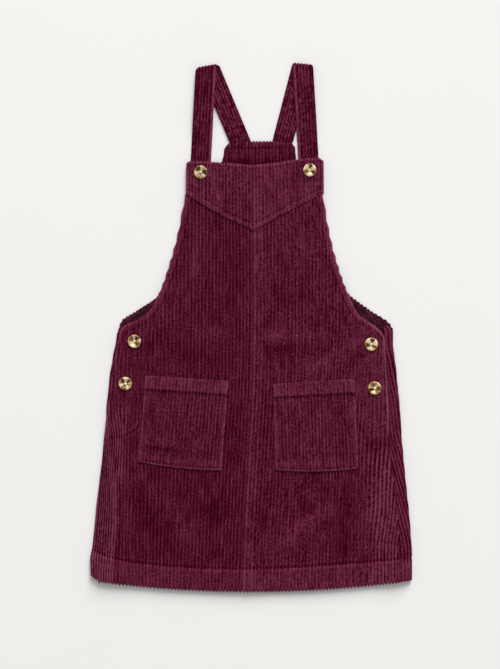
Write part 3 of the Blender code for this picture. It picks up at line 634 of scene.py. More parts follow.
LEFT = Half(
    sign=-1, side=LEFT_SIDE, v_line=line(YOKE_LEFT_LOWER), v_spots=YOKE_LEFT_LOWER,
    bib_side=edge(BIB_LEFT_SIDE), bib_top=line(BIB_LEFT_TOP),
    wales=LEFT_WALES, hem=HEM_LEFT, placket=PLACKET_LEFT, placket_pull=(0.5, 1.3),
    placket_foot=188.0, placket_worn=0.4, placket_light=0.42, placket_line=1.3, creases=CREASES_LEFT,
    strokes=STROKES_LEFT, rubbed=RUBBED_LEFT, crushed=1.0, crush_top=(180, 235), crush_inset=(22, 34),
    yoke_wales=19, lots=(0.0, 0.61), seed=11,
)
RIGHT = Half(
    sign=1, side=RIGHT_SIDE, v_line=line(YOKE_RIGHT_LOWER), v_spots=YOKE_RIGHT_LOWER,
    bib_side=edge(BIB_RIGHT_SIDE), bib_top=line(BIB_RIGHT_TOP),
    wales=RIGHT_WALES, hem=HEM_RIGHT, placket=PLACKET_RIGHT, placket_pull=(0.28, 1.2),
    placket_foot=196.0, placket_worn=0.75, placket_light=1.0, placket_line=0.9, creases=CREASES_RIGHT,
    strokes=STROKES_RIGHT, rubbed=RUBBED_RIGHT, crushed=0.64, crush_top=(158, 178), crush_inset=(22, 46),
    yoke_wales=20, lots=(0.37, 0.83), seed=12,
)
POCKETS = (
    Patch(
        "pocket_left", LEFT, spots((-127.0, 261.2), (-26.6, 254.3), (-35.9, 146.3), (-135.8, 156.8)),
        sag=2.5, worn=0.2, lot=1.2,
    ),
    Patch(
        "pocket_right", RIGHT, spots((26.0, 250.8), (124.1, 257.0), (128.8, 148.7), (29.0, 147.0)),
        sag=3.0, worn=0.4, lot=1.7,
    ),
)


# ---- how the front lies ----


def hem_lift(x, height):
    """How much higher the hem's curve lies away from the middle."""
    return HEM_RISE * (x / HEM_HALF_WIDTH) ** 2 * np.clip(1 - height / HEM_FADE, 0, 1)


def hem_line(x):
    """Height of the hem's stitching."""
    left, right = HEM_LINES
    return np.where(x < HEM_MEETING, left(x), right(x))


def bed(x, height):
    """Height of the front's underside over the surface."""
    level = BED + np.zeros(np.broadcast(x, height).shape)
    body = step(height, *DIP_FOOT) * until(height, *DIP_TOP)
    level = level - BED_DIP * body * until(np.abs(x), *DIP_SIDES)
    inset, beyond = x - LEFT_SIDE(height), RIGHT_SIDE(height) - x
    side, below = until(height, *RIDGE_TOP), until(height, *SKIRT_TOP)
    level = level + side * bump(inset - RIDGE_INSET, RIDGE_REACH) * (0.5 + 0.5 * below) * RIDGE_HEIGHT
    level = level - SIDE_DROP * below * until(inset, 0, SIDE_DROP_REACH) * step(height, *DROP_FOOT)
    level = level + side * bump(beyond, RIDGE_REACH) * SEAM_RAISE
    bib = step(height, *DROOP_FOOT) * until(height, *DROOP_TOP)
    return level - BIB_DROOP * bib * until(np.minimum(inset, beyond), 0, BIB_DROOP_REACH)


def band(x, height):
    """1 along the lapped band beside the centre seam."""
    from_seam = x - CENTRE(height)
    return step(from_seam, 0.0, 1.0) * until(from_seam, BAND_WIDTH - 0.6, BAND_WIDTH + 1.6)


def pile(counts, x):
    """How high the pile stands over a grid: 0 in a groove, and 1 on the crown of a wale."""
    off_crown = np.abs(2 * (counts % 1) - 1)
    return (1 - off_crown**WALE_ROUND)[None, :] * np.ones_like(x)


def tooth(count):
    """The scallop that a wale makes along an edge, from 0 at its grooves to 1 at its crown."""
    return 1 - np.abs(2 * (count % 1) - 1)


def flattened(fleece, amount):
    """The pile's height where it is pressed flat by some amount."""
    return fleece + FLATTENING * amount * (FLAT_PILE - fleece)


def wale_counts(first, last, points=WALE_POINTS):
    """Places across whole wales, as counts from the centre: close together beside the grooves."""
    return np.array([n + p for n in range(first, last) for p in points] + [last], float)


# ---- meshes ----


def placed_mesh(name, points, edges, faces):
    """A mesh of points in millimetres, with height up the dress as Y, as an object of the scene."""
    points = np.array(points, float)
    points[:, 1] -= LENGTH / 2
    mesh = bpy.data.meshes.new(name)
    mesh.from_pydata((points * MM).tolist(), edges, faces)
    obj = bpy.data.objects.new(name, mesh)
    bpy.context.collection.objects.link(obj)
    return obj


def add_mesh(name, points, faces, material, attributes=()):
    """A smooth mesh with a material and with named values at its points."""
    obj = placed_mesh(name, points, [], faces)
    obj.data.materials.append(material)
    obj.data.shade_smooth()
    for label, kind, values in attributes:
        field = "vector" if kind == "FLOAT_VECTOR" else "value"
        layer = obj.data.attributes.new(label, kind, "POINT")
        layer.data.foreach_set(field, np.ravel(values).astype(np.float32))
    return obj


def outward(loop):
    """Unit vectors that point out of a loop of points which runs anticlockwise seen from above."""
    along = np.roll(loop, -1, axis=0)[:, :2] - np.roll(loop, 1, axis=0)[:, :2]
    along /= np.maximum(np.linalg.norm(along, axis=1, keepdims=True), TINY)
    return np.stack([along[:, 1], -along[:, 0], np.zeros(len(along))], axis=-1)


def loop_of(rows, columns):
    """The numbers of a grid's border points, anticlockwise from its first one."""
    number = np.arange(rows * columns).reshape(rows, columns)
    return np.concatenate([number[0], number[1:, -1], number[-1, -2::-1], number[-2:0:-1, 0]])


def grid_faces(number, upwards=True):
    """A face for each cell of a grid of point numbers."""
    a, b = number[:-1, :-1].ravel(), number[:-1, 1:].ravel()
    d, e = number[1:, :-1].ravel(), number[1:, 1:].ravel()
    return np.stack([a, b, e, d] if upwards else [a, d, e, b], axis=-1).tolist()


def grid(x, height, z):
    """Points from their places across, up the dress and above the surface."""
    return np.stack([x, height, z], axis=-1)


def weave_place(across, along, lot):
    """Each point's place in its own cloth, in metres; the lot keeps one piece's grain from another's."""
    across, along = across + 0 * along, along + 0 * across
    return np.stack([across * MM, along * MM, 0 * along + lot], axis=-1)


def cloth_piece(
    name, upper, under, fleece, nap, weave, bulge, material, skip=3, outs=None, lining=None, inside=None,
):
    """Joins an upper and an under grid, rows by columns, into one closed piece with a rounded rim.

    The fleece is how high the pile stands, and the nap how light the cloth is made: the lie of its pile, with
    painted highlights and painted shade. The weave gives each point's place in the cloth. The under grid
    keeps one column in every skip, and the lining is its fleece and nap. Where inside is 1 the painted
    armhole shade shows.
    """
    rows, columns = upper.shape[:2]
    rim = loop_of(rows, columns)
    kept = sorted({*range(0, columns, skip), columns - 1})
    first_turn = rows * columns
    first_under = first_turn + len(RIM_TURNS) * len(rim)

    def flat(values):
        return values.reshape(values.shape[0] * values.shape[1], -1)

    def everywhere(above, beneath, rim_values=None):
        """A value for every point: of the upper grid, of each turn round the rim, and of the under grid."""
        turn = flat(above)[rim] if rim_values is None else rim_values
        return np.concatenate([flat(above), *[turn] * len(RIM_TURNS), flat(beneath[:, kept])])

    loop_top, loop_under = flat(upper)[rim], flat(under)[rim]
    out = outward(loop_top) if outs is None else flat(outs)[rim]
    reach, half = flat(bulge)[rim], (loop_top - loop_under) / 2
    turns = [
        loop_under + half + half * math.cos(angle) + out * reach * math.sin(angle)
        for angle in map(math.radians, RIM_TURNS)
    ]
    points = np.concatenate([flat(upper), *turns, flat(under[:, kept])])
    faces = grid_faces(np.arange(first_turn).reshape(rows, columns))
    loops = [rim] + [np.arange(len(rim)) + first_turn + k * len(rim) for k in range(len(RIM_TURNS))]
    for low, high in zip(loops, loops[1:]):
        faces += np.stack([low, high, np.roll(high, -1), np.roll(low, -1)], axis=-1).tolist()
    small = np.arange(rows * len(kept)).reshape(rows, len(kept)) + first_under
    faces += grid_faces(small, upwards=False)
    under_number = np.full((rows, columns), -1)
    under_number[:, kept] = small
    last, under_loop = loops[-1], under_number.reshape(-1)[rim]
    stops = [i for i in range(len(rim)) if under_loop[i] >= 0]
    for i, j in zip(stops, stops[1:] + [len(rim)]):
        span = [int(last[k % len(rim)]) for k in range(i, j + 1)]
        faces.append(span[::-1] + [int(under_loop[i]), int(under_loop[j % len(rim)])])
    inside = 0 * fleece if inside is None else inside
    under_fleece, under_nap_and_shade = (UNDER_PILE + 0 * fleece, 0 * nap) if lining is None else lining
    rim_fleece = flat(fleece)[rim] * 0.5 + RIM_PILE
    attributes = (
        ("pile", "FLOAT", everywhere(fleece, under_fleece, rim_fleece)),
        ("nap", "FLOAT", everywhere(nap, under_nap_and_shade)),
        ("inside", "FLOAT", everywhere(inside, inside)),
        ("weave", "FLOAT_VECTOR", everywhere(weave, weave)),
    )
    return add_mesh(name, points, faces, material, attributes)


def longest_run(inside):
    """The first and last index of the longest stretch of True."""
    edges = np.flatnonzero(np.diff(np.concatenate([[0], inside.astype(int), [0]])))
    starts, ends = edges[::2], edges[1::2] - 1
    if not len(starts):
        return None
    best = int(np.argmax(ends - starts))
    return int(starts[best]), int(ends[best])


def cut_columns(levels, across, room):
    """Where each column enters and leaves the cloth; room is how far inside the edge it is."""
    spans = []
    for c in range(across.shape[1]):
        run = longest_run(room[:, c] > 0)
        if run is None:
            spans.append(None)
            continue
        first, last = run
        start, end = levels[first], levels[last]
        if first > 0:
            before, after = room[first - 1, c], room[first, c]
            start = levels[first] - (levels[1] - levels[0]) * after / (after - before)
        if last < len(levels) - 1:
            here, beyond = room[last, c], room[last + 1, c]
            end = levels[last] + (levels[1] - levels[0]) * here / (here - beyond)
        spans.append((start, end))
    return spans


def kept_columns(levels, counts, across, room, shortest, rows):
    """The counts of the columns that run through enough cloth, with their places across and up it.

    The columns are cut where they leave the cloth, and rows maps where one starts and ends to its heights.
    """
    spans = cut_columns(levels, across, room)
    kept = [i for i, span in enumerate(spans) if span is not None and span[1] - span[0] > shortest]
    level = np.stack([rows(*spans[i]) for i in kept], axis=1)
    x = np.stack([np.interp(level[:, c], levels, across[:, i]) for c, i in enumerate(kept)], axis=1)
    return counts[kept], x, level


def at_shares(shares):
    """Rows at fixed shares of a column's length."""
    return lambda start, end: start + (end - start) * np.array(shares)


# ---- finishes ----


class Value:
    """A socket that takes part in Python expressions; each operator adds its Math node."""

    def __init__(self, finish, socket):
        self.finish, self.socket = finish, socket

    def math(self, operation, *others):
        return self.finish.node("ShaderNodeMath", [self, *others], operation=operation)

    def __add__(self, other):
        return self.math("ADD", other)

    def __sub__(self, other):
        return self.math("SUBTRACT", other)

    def __rsub__(self, other):
        return self.finish.node("ShaderNodeMath", [other, self], operation="SUBTRACT")

    def __mul__(self, other):
        return self.math("MULTIPLY", other)

    __radd__, __rmul__ = __add__, __mul__

    def between(self, low, high, to_low=0.0, to_high=1.0):
        """Moves a range onto another, smoothly, and holds it there."""
        return self.finish.node(
            "ShaderNodeMapRange", [self, low, high, to_low, to_high],
            interpolation_type="SMOOTHSTEP", clamp=True,
        )


class Finish:
    """A procedural material under construction."""

    def __init__(self, name):
        self.material = bpy.data.materials.new(name)
        self.material.use_nodes = True
        self.tree = self.material.node_tree
        self.shader = next(n for n in self.tree.nodes if n.type == "BSDF_PRINCIPLED")

    def node(self, kind, inputs=(), output=0, stops=(), **settings):
        """Adds a node: its settings first, then its sockets by place or by name, and gives one output."""
        made = self.tree.nodes.new(kind)
        for key, value in settings.items():
            setattr(made, key, value)
        if stops:
            ramp = made.color_ramp
            while len(ramp.elements) < len(stops):
                ramp.elements.new(1.0)
            for element, (place, colour) in zip(ramp.elements, stops):
                element.position, element.color = place, (*colour, 1)
        pairs = inputs.items() if isinstance(inputs, dict) else enumerate(inputs)
        for key, value in pairs:
            self.put(made.inputs[key], value)
        return Value(self, made.outputs[output])

    def put(self, socket, value):
        if isinstance(value, Value):
            self.tree.links.new(value.socket, socket)
        elif value is not None:
            socket.default_value = value

    def attribute(self, name, output="Fac"):
        """A value that the piece carries at its points."""
        return self.node("ShaderNodeAttribute", output=output, attribute_name=name)

    def mix(self, share, low, high):
        """Blends two colours."""
        made = self.tree.nodes.new("ShaderNodeMix")
        made.data_type = "RGBA"
        self.put(made.inputs["Factor"], share)
        for socket, value in zip((s for s in made.inputs if s.type == "RGBA"), (low, high)):
            self.put(socket, value if isinstance(value, Value) else (*value, 1))
        return Value(self, next(s for s in made.outputs if s.type == "RGBA"))

    def noise(self, place, grain):
        """Clouds of a grain's fineness."""
        if grain.stretch:
            place = self.node("ShaderNodeVectorMath", [place, grain.stretch], operation="MULTIPLY")
        sizes = {"Vector": place, "Scale": grain.scale, "Detail": grain.detail, "Roughness": grain.roughness}
        return self.node("ShaderNodeTexNoise", sizes)

    def set(self, **values):
        for key, value in values.items():
            self.put(self.shader.inputs[key.replace("_", " ")], value)


def tinted(colour, shares):
    """A colour with each of its parts brought to a share of itself."""
    return tuple(part * share for part, share in zip(colour, shares))


def corduroy(name, colour):
    """Cut-pile cotton: a painted highlight on each crown, dotted grooves with painted shade, and brushed
    clouds.
    """
    finish = Finish(name)
    place = finish.attribute("weave", "Vector")
    tufts, dashes, specks, brushing, clouds, patches, fibres = (
        finish.noise(place, grain) for grain in (TUFTS, DASHES, SPECKS, BRUSHING, CLOUDS, PATCHES, FIBRES)
    )
    # painted highlight on the crowns and painted shade in the grooves
    crest = finish.attribute("pile").between(*CROWN_LIGHT_PILE)
    groove = 1.0 - crest
    rubbed = patches.between(*RUBBED_PATCHES)
    # the nap carries the lie of the pile together with painted highlights and painted shade
    level = (
        PILE_TONE + finish.attribute("nap")
        + crest * (0.54 - rubbed * 0.34) + rubbed * 0.11
        + (tufts - 0.5) * (groove * 0.8 + 0.9)
        + (dashes - 0.5) * 1.0
        + (specks - 0.5) * 1.3
        + (brushing - 0.5) * 0.35
        + (clouds - 0.5) * 0.3
    )
    # painted shade for the insides of the armholes, where inside is 1
    armhole_shade = finish.mix(level.between(0.0, 0.9), tinted(colour, ARMHOLE_SHADE_DARK), tinted(colour, ARMHOLE_SHADE_LIGHT))
    stops = tuple((place_on, tinted(colour, shares)) for place_on, shares in PILE_TONES)
    base = finish.node("ShaderNodeValToRGB", [level * 0.6], stops=stops)
    finish.set(Base_Color=finish.mix(finish.attribute("inside"), base, armhole_shade), Roughness=0.95)
    finish.set(Sheen_Weight=0.04, Sheen_Roughness=0.4, Sheen_Tint=(0.9, 0.3, 0.45, 1))
    finish.set(Specular_IOR_Level=0.015)
    relief = fibres * 0.35 + tufts * 0.9 + specks * 0.4
    finish.set(Normal=finish.node("ShaderNodeBump", {"Strength": 0.6, "Distance": 0.0008, "Height": relief}))
    return finish.material


def horn(name):
    """Polished imitation horn: cream to honey, brown patches running out from the middle, holes painted dark
    as shade.
    """
    finish = Finish(name)
    place = finish.attribute("horn", "Vector")
    fans, veins = finish.noise(place, FANS), finish.noise(place, VEINS)
    amount = 0.74 - finish.attribute("brown") * 0.58 + (fans - 0.5) * 0.5 + (veins - 0.5) * 0.5
    shell = finish.node("ShaderNodeValToRGB", [amount], stops=HORN_TONES)
    # the drilled holes painted dark as shade
    base = finish.mix(finish.attribute("hole").between(0.25, 0.9), shell, HOLE_SHADE_COLOUR)
    finish.set(Base_Color=base, Roughness=0.34, Coat_Weight=0.18, Specular_IOR_Level=0.35)
    finish.set(Coat_Roughness=0.22)
    return finish.material


def speckled(name, colour, grain, darkest, lightest, roughness, specular):
    """A plain finish whose colour varies a little over the piece's own space."""
    finish = Finish(name)
    clouds = finish.noise(finish.node("ShaderNodeTexCoord", output="Object"), grain)
    low, high = (tuple(part * share for part in colour) for share in (darkest, lightest))
    base = finish.mix(clouds.between(0.3, 0.7), low, high)
    finish.set(Base_Color=base, Roughness=roughness, Specular_IOR_Level=specular)
    return finish.material


def thread(name, colour):
    """Twisted sewing thread."""
    return speckled(name, colour, TWIST, 0.6, 1.3, 0.8, 0.05)


def floor_finish(name, colour):
    """A plain pale surface."""
    return speckled(name, colour, FLOOR_GRAIN, 0.995, 1.0, 0.9, 0.0)


def finished(key):
    """Each finish is made once and shared by the pieces that have it."""
    cloth = bpy.context.scene.pinafore_cloth
    makers = {
        "corduroy_face": lambda: corduroy(key, tuple(cloth.colour)),
        "corduroy_facing": lambda: corduroy(key, tuple(cloth.facing_colour)),
        "horn": lambda: horn(key),
        "thread": lambda: thread(key, tuple(cloth.thread_colour)),
        "button_thread": lambda: thread(key, tuple(cloth.button_thread_colour)),
    }
    return bpy.data.materials.get(key) or makers[key]()


def done(piece, slot, *nodes):
    """Makes a finished piece ride on the root body and hides the solids that it stands for; its slot is not
    used.
    """
    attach(piece, "root")
    if nodes:
        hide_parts(*nodes)
    return piece


# ---- front ----


def lined(away, *lines):
    """How light or dark some fine lines are at a distance from an edge or a seam."""
    return sum(mark.tone * bump(away - mark.at, mark.width) for mark in lines)


def band_seams(foot, top):
    """The two pressed lines of the lapped band, which has no stitches on show."""
    heights = np.arange(foot, top, 3.0)
    paths = (np.stack([CENTRE(heights) + reach, heights], axis=-1) for reach in BAND_LINES)
    return [Seam(path, *BAND_PULL, False) for path in paths]


def front_seams(half):
    """The stitched lines of a front half."""
    seams = [
        Seam(smooth_path(half.hem), *HEM_PULL),
        Seam(side_path(half.side, *ARMHOLE_STITCHED, EDGE_STITCH), *EDGE_PULL),
        Seam(smooth_path(half.placket), *half.placket_pull),
        Seam(side_path(half.side, half.placket_foot, PLACKET_TOP, PLACKET_STITCH), *PLACKET_EDGE_PULL),
    ]
    return seams if half is LEFT else seams + band_seams(*BAND_ON_FRONT)


def front_form(x, height, half):
    """Height of the front's upper side at the crowns of its wales, and of its underside."""
    below = bed(x, height)
    inset = square_inset(half.side, x, height)
    wall = CLOTH * (1 + until(height - hem_line(x), *HEM_TURN)) + BAND_LIFT * band(x, height)
    wall = wall + ARMHOLE_LIFT * step(height, *ARMHOLE_FOOT) * until(inset, *ARMHOLE_TURN)
    placket = step(height, *PLACKET_FOOT) * until(height, *ARMHOLE_FOOT)
    wall = wall + PLACKET_LIFT * placket * until(inset, *PLACKET_TURN)
    wall = creased(wall, x, height, half.creases)
    wall = wall + FRONT_WAVE * uneven(x, height * 0.6, 34.0, 5) * step(inset, *WAVE_INSET)
    return below + wall, below


def pressed(x, height, half):
    """How flat the front's pile is pressed, from 0 to 1: along its hem, its armholes and its plackets."""
    inset = square_inset(half.side, x, height)
    hem = HEM_PRESSED * until(height - hem_line(x), *HEM_FOLD) * until(-x, *HEM_PRESSED_TO)
    armhole = step(height, *ARMHOLE_PRESSED) * (1 - 0.6 * step(height, *ARMHOLE_FREE))
    armhole = armhole * until(inset, EDGE_STITCH - 2.0, EDGE_STITCH + 1.5)
    placket = step(height, *PLACKET_PRESSED) * until(height, *PLACKET_FREE) * until(inset, *PLACKET_REACH)
    worn = np.maximum(np.maximum(hem, armhole), half.placket_worn * placket)
    for patch in half.rubbed:
        worn = np.maximum(worn, patch.tone * stroke_share(x, height, patch))
    return worn


def front_nap_and_shade(x, height, half):
    """How light the front is made: pressed and brushed pile, with painted highlights and painted shade."""
    inset = square_inset(half.side, x, height)
    nap = HEM_TONE * until(height - hem_line(x), *HEM_FOLD) - SKIRT_SHADE * until(height, *SKIRT_SHADE_TOP)
    # a lighter band out to the armhole's topstitching, with a painted highlight along the folded edge
    edging = EDGING_TONE * until(inset, EDGE_STITCH - 2, EDGE_STITCH) + lined(inset, ARMHOLE_HIGHLIGHT)
    nap = nap + step(height, *EDGING_FOOT) * edging
    # painted highlights along the centre seam and the lapped band's edge
    nap = nap + lined(x - CENTRE(height), CENTRE_HIGHLIGHT, BAND_HIGHLIGHT) + BAND_TONE * band(x, height)
    placket = step(height, *PLACKET_LIGHT_FOOT) * until(height, *PLACKET_LIGHT_TOP)
    # a painted highlight along the placket's edge
    edge_line = Line(half.placket_light, PLACKET_LINE_AT, half.placket_line)
    nap = nap + placket * (lined(inset, edge_line) + PLACKET_TONE * until(inset, *PLACKET_TONE_REACH))
    if half is LEFT:
        # a painted highlight along the left fold, and painted shade beyond it
        away = distance(x, height, RIDGE_LINE)
        beyond = x > np.interp(height, *np.array(RIDGE_LINE).T[::-1])
        nap = nap + lined(away, RIDGE_LIGHT) + beyond * lined(away, RIDGE_SHADE)
        nap = nap + LEFT_TONE * step(-x, *LEFT_TONE_REACH) * step(height, *LEFT_TONE_FOOT)
    else:
        nap = nap + RIGHT_TONE + RIGHT_SIDE_TONE * step(height, *RIGHT_TONE_FOOT) * step(x, *RIGHT_TONE_REACH)
    # painted light on the creases' ridges and painted shade in their troughs
    nap = creased(nap, x, height, half.creases, CREASE_SHADING)
    # strokes of lighter or darker colour, among them painted light and shade on creases and a painted shadow
    # under the right placket's foot
    return stroked(nap, x, height, half.strokes)


def stitched(x, height, z, nap, seams, fleece):
    """Draws the cloth in along its stitched lines and paints shade into the channel, most of all in its
    grooves.
    """
    sunk_shade = 1.3 - 0.9 * fleece
    for seam in seams:
        away = distance(x, height, seam.path)
        z = z - seam.depth * bump(away, seam.width) + 0.3 * seam.depth * bump(away - 2.6, 1.5)
        # painted shade in the sunk stitched channel, and a painted highlight on the cloth puffed up beside it
        dark = 0.75 * seam.depth * sunk_shade * bump(away, seam.width * 0.9)
        nap = nap - dark + 0.2 * seam.depth * bump(away - 2.4, 1.3)
    return z, nap


def sew(seams, crown):
    """Notes the stitches of some seams; crown gives the cloth's height at points across and up it."""
    for seam in seams:
        x, height = seam.path[:, 0], seam.path[:, 1]
        if seam.stitched:
            inside = (x > LEFT_SIDE(height) + SEW_INSET) & (x < RIGHT_SIDE(height) - SEW_INSET)
            run = grid(x, height, crown(x, height) - seam.depth - STITCH_SINK)
            SEWN.append(run[inside])


def front_rows(start, end):
    """Heights up a column: close together across the hem and its stitching."""
    hem = np.array([0, 1, 2.5, 5, 9, 13, 17, 21, 24.5, *np.arange(26.2, 48, 1.6)])
    hem = hem * min(1.0, max(end - start, 1.0) / SHORT_COLUMN)
    rest = np.linspace(hem[-1] + start, end, FRONT_ROWS)[1:]
    return np.concatenate([hem + start, rest])


def front_columns(half):
    """The front's wales: their counts, and places across and up it before its hem is curved."""
    levels = np.arange(EDGE_ROLL + HEM_EASE, FRONT_TOP, 1.0)
    known = np.stack([CENTRE(levels), *(edge(wale.path)(levels) for wale in half.wales)], axis=1)
    counts = wale_counts(0, FRONT_WALES)
    across = through(np.array([0.0, *(wale.count for wale in half.wales)]), known, counts)
    across = across + half.sign * SEAM_GAP / 2
    wander = uneven(across, levels[:, None] * 0.35, 13.0, half.seed)
    across = across + WANDER * wander * step(counts, 0, 2)
    edge_at = half.side(np.maximum(levels, CORNER))[:, None]
    tilt = np.gradient(edge_at[:, 0], levels)[:, None]
    room = half.sign * (edge_at - across) / np.sqrt(1 + tilt**2) - EDGE_ROLL
    room = room - lined(levels[:, None], ARMPIT_EASE)
    room = np.minimum(room, half.v_line(across) + YOKE_COVER - levels[:, None])
    return kept_columns(levels, counts, across, room, SHORTEST_WALE, front_rows)


def front_half(name, node, half):
    """One half of the front, from its hem up to the yoke's seam."""
    counts, x, level = front_columns(half)
    height = level + hem_lift(x, level)
    crest, below = front_form(x, height, half)
    fleece = pile(counts, x)
    seams = front_seams(half)
    sew(seams, lambda across, up: front_form(across, up, half)[0])
    crushed = half.crushed * until(height, *half.crush_top)
    crushed = crushed * until(half.sign * (half.side(height) - x), *half.crush_inset)
    flat = pressed(x, height, half) * (1 - 0.8 * crushed)
    depth = WALE_DEPTH * (1 + 0.18 * uneven(x, height, 6.0, 21) + 0.45 * crushed) * (1 - 0.6 * flat)
    # where the wales are crushed their crowns are painted lighter and their grooves darker: painted highlight
    # and painted shade
    nap = front_nap_and_shade(x, height, half) + crushed * (0.55 * fleece - 0.30 * (1 - fleece))
    nap = nap + 0.4 * crushed * uneven(x * 1.4, height, 2.8, 77)
    upper_z, nap = stitched(x, height, crest - depth * (1 - fleece), nap, seams, fleece)
    scallop = EDGE_SCALLOP * (1 - 0.75 * step(height, *SCALLOP_LOW) * until(height, *SCALLOP_HIGH))
    if half is RIGHT:
        scallop = scallop * step(height, *SCALLOP_RIGHT)
    bulge = EDGE_ROLL - scallop * (1 - tooth(counts)[None, :])
    bulge[0] = HEM_TOOTH * tooth(counts) ** 1.2
    bulge[0, -3:] = np.maximum(bulge[0, -3:], CORNER_TOOTH)
    bulge[1:, 0] = bulge[-1, level[-1] > half.v_line(x[-1]) - 1.5] = SEAM_BULGE
    under_z = np.minimum(below, upper_z - THINNEST)
    grids = [
        grid(x, height, upper_z), grid(x, height, under_z), flattened(fleece, flat), nap,
        weave_place(counts * WALE, height, half.lots[0]), bulge,
    ]
    piece = cloth_piece(name, *(mirrored(grids) if half is LEFT else grids), finished("corduroy_face"))
    return done(piece, "corduroy", node)


def mirrored(grids):
    """The same grids with their columns the other way round."""
    return [values[:, ::-1] for values in grids]


# ---- yoke ----


def yoke_crest(x, height, half):
    """Height of the yoke's upper side at the crowns of its wales."""
    leg, button = (LEGS[0], BUTTONS[0]) if half is LEFT else (LEGS[1], BUTTONS[1])
    crest = bed(x, height) + YOKE_WALL + BAND_LIFT * band(x, height)
    strap_foot = leg.start.height - STRAP_UNDERLAP
    beside = until(np.abs(x - leg.start.across), STRAP_WIDTH / 2 - 2.0, STRAP_WIDTH / 2 + 1.5)
    crest = crest + STRAP_LIFT * beside * step(height, strap_foot - 2, strap_foot + 3)
    hollow = np.hypot(x - button.across, height - button.height)
    crest = crest - BUTTON_DENT * bump(hollow, BUTTON_RADIUS * 0.9) + 0.5 * uneven(x, height, 19.0, 8)
    return creased(crest, x, height, YOKE_CREASES) + 0.5 * until(height - half.v_line(x), 5.0, 8.0)


def yoke_seams(half, head_x, head):
    """The stitched lines of a half of the yoke, whose top edge is given."""
    v_stitch = smooth_path(half.v_spots) + np.array([0.0, V_STITCH])
    rise = np.linspace(*YOKE_SIDE_STITCHED, 12)
    beside = np.full(len(rise), half.bib_side(495.0) - half.sign * YOKE_SIDE_STITCH)
    seams = [
        Seam(v_stitch, 0.36, 1.3),
        Seam(np.stack([head_x, head - YOKE_TOP_STITCH], axis=-1), 0.3, 1.1),
        Seam(np.stack([beside, rise], axis=-1), 0.4, 1.1),
    ]
    return seams if half is LEFT else seams + band_seams(*BAND_ON_YOKE)


def yoke_nap_and_shade(x, height, half):
    """How light the yoke is made: its pile, with painted highlights and painted light and shade on creases.
    """
    low = until(height - half.v_line(x), *V_TURN)
    nap = YOKE_TONE + 0.16 * low + lined(half.bib_top(x) - height, YOKE_TOP_HIGHLIGHT)
    nap = nap + lined(x - CENTRE(height), YOKE_CENTRE_HIGHLIGHT, YOKE_BAND_HIGHLIGHT)
    # painted light on the creases' ridges and painted shade in their troughs, with the strokes
    return creased(stroked(nap, x, height, YOKE_STROKES), x, height, YOKE_CREASES, 0.28), low


def yoke_half(name, node, half):
    """Half of the front yoke, cut double, from its V up to the top of the bib."""
    sign, wales = half.sign, half.yoke_wales
    counts = np.append(wale_counts(0, wales), (wales + 0.1, wales + 0.28, wales + 0.5))
    share = counts / counts[-1]
    inner, outer = CENTRE(470.0) + sign * SEAM_GAP / 2, half.bib_side(490.0) - sign * EDGE_ROLL
    foot_x = inner + (outer - inner) * share
    foot = half.v_line(foot_x) + SEAM_GAP
    inner, outer = CENTRE(514.0) + sign * SEAM_GAP / 2, half.bib_side(512.0) - sign * EDGE_ROLL
    head_x = inner + (outer - inner) * share
    head = half.bib_top(head_x) - EDGE_ROLL
    rise = np.array([0, 0.012, *np.linspace(0.03, 0.94, 58), 0.96, 0.98, 1.0])[:, None]
    x = foot_x + (head_x - foot_x) * rise
    height = foot + (head - foot) * rise
    x = x + 0.22 * uneven(x, height * 0.4, 12.0, 31) * step(counts, 0, 2) * until(share, 0.93, 1)
    fleece = pile(counts, x)
    seams = yoke_seams(half, head_x, head)
    sew(seams, lambda across, up: yoke_crest(across, up, half))
    nap, low = yoke_nap_and_shade(x, height, half)
    depth = WALE_DEPTH * (1 + 0.18 * uneven(x, height, 6.0, 22))
    crest = yoke_crest(x, height, half)
    upper_z, nap = stitched(x, height, crest - depth * (1 - fleece), nap, seams, fleece)
    bulge = EDGE_ROLL - EDGE_SCALLOP + EDGE_SCALLOP * tooth(counts)[None, :] + 0 * x
    bulge[:-1, 0] = SEAM_BULGE
    bulge[0, :-1] = V_BULGE
    grids = [
        grid(x, height, upper_z), grid(x, height, bed(x, height)), flattened(fleece, 0.5 * low), nap,
        weave_place(counts * WALE, height, half.lots[1]), bulge,
    ]
    piece = cloth_piece(name, *(mirrored(grids) if half is LEFT else grids), finished("corduroy_face"))
    return done(piece, "corduroy", node)


# ---- pockets ----


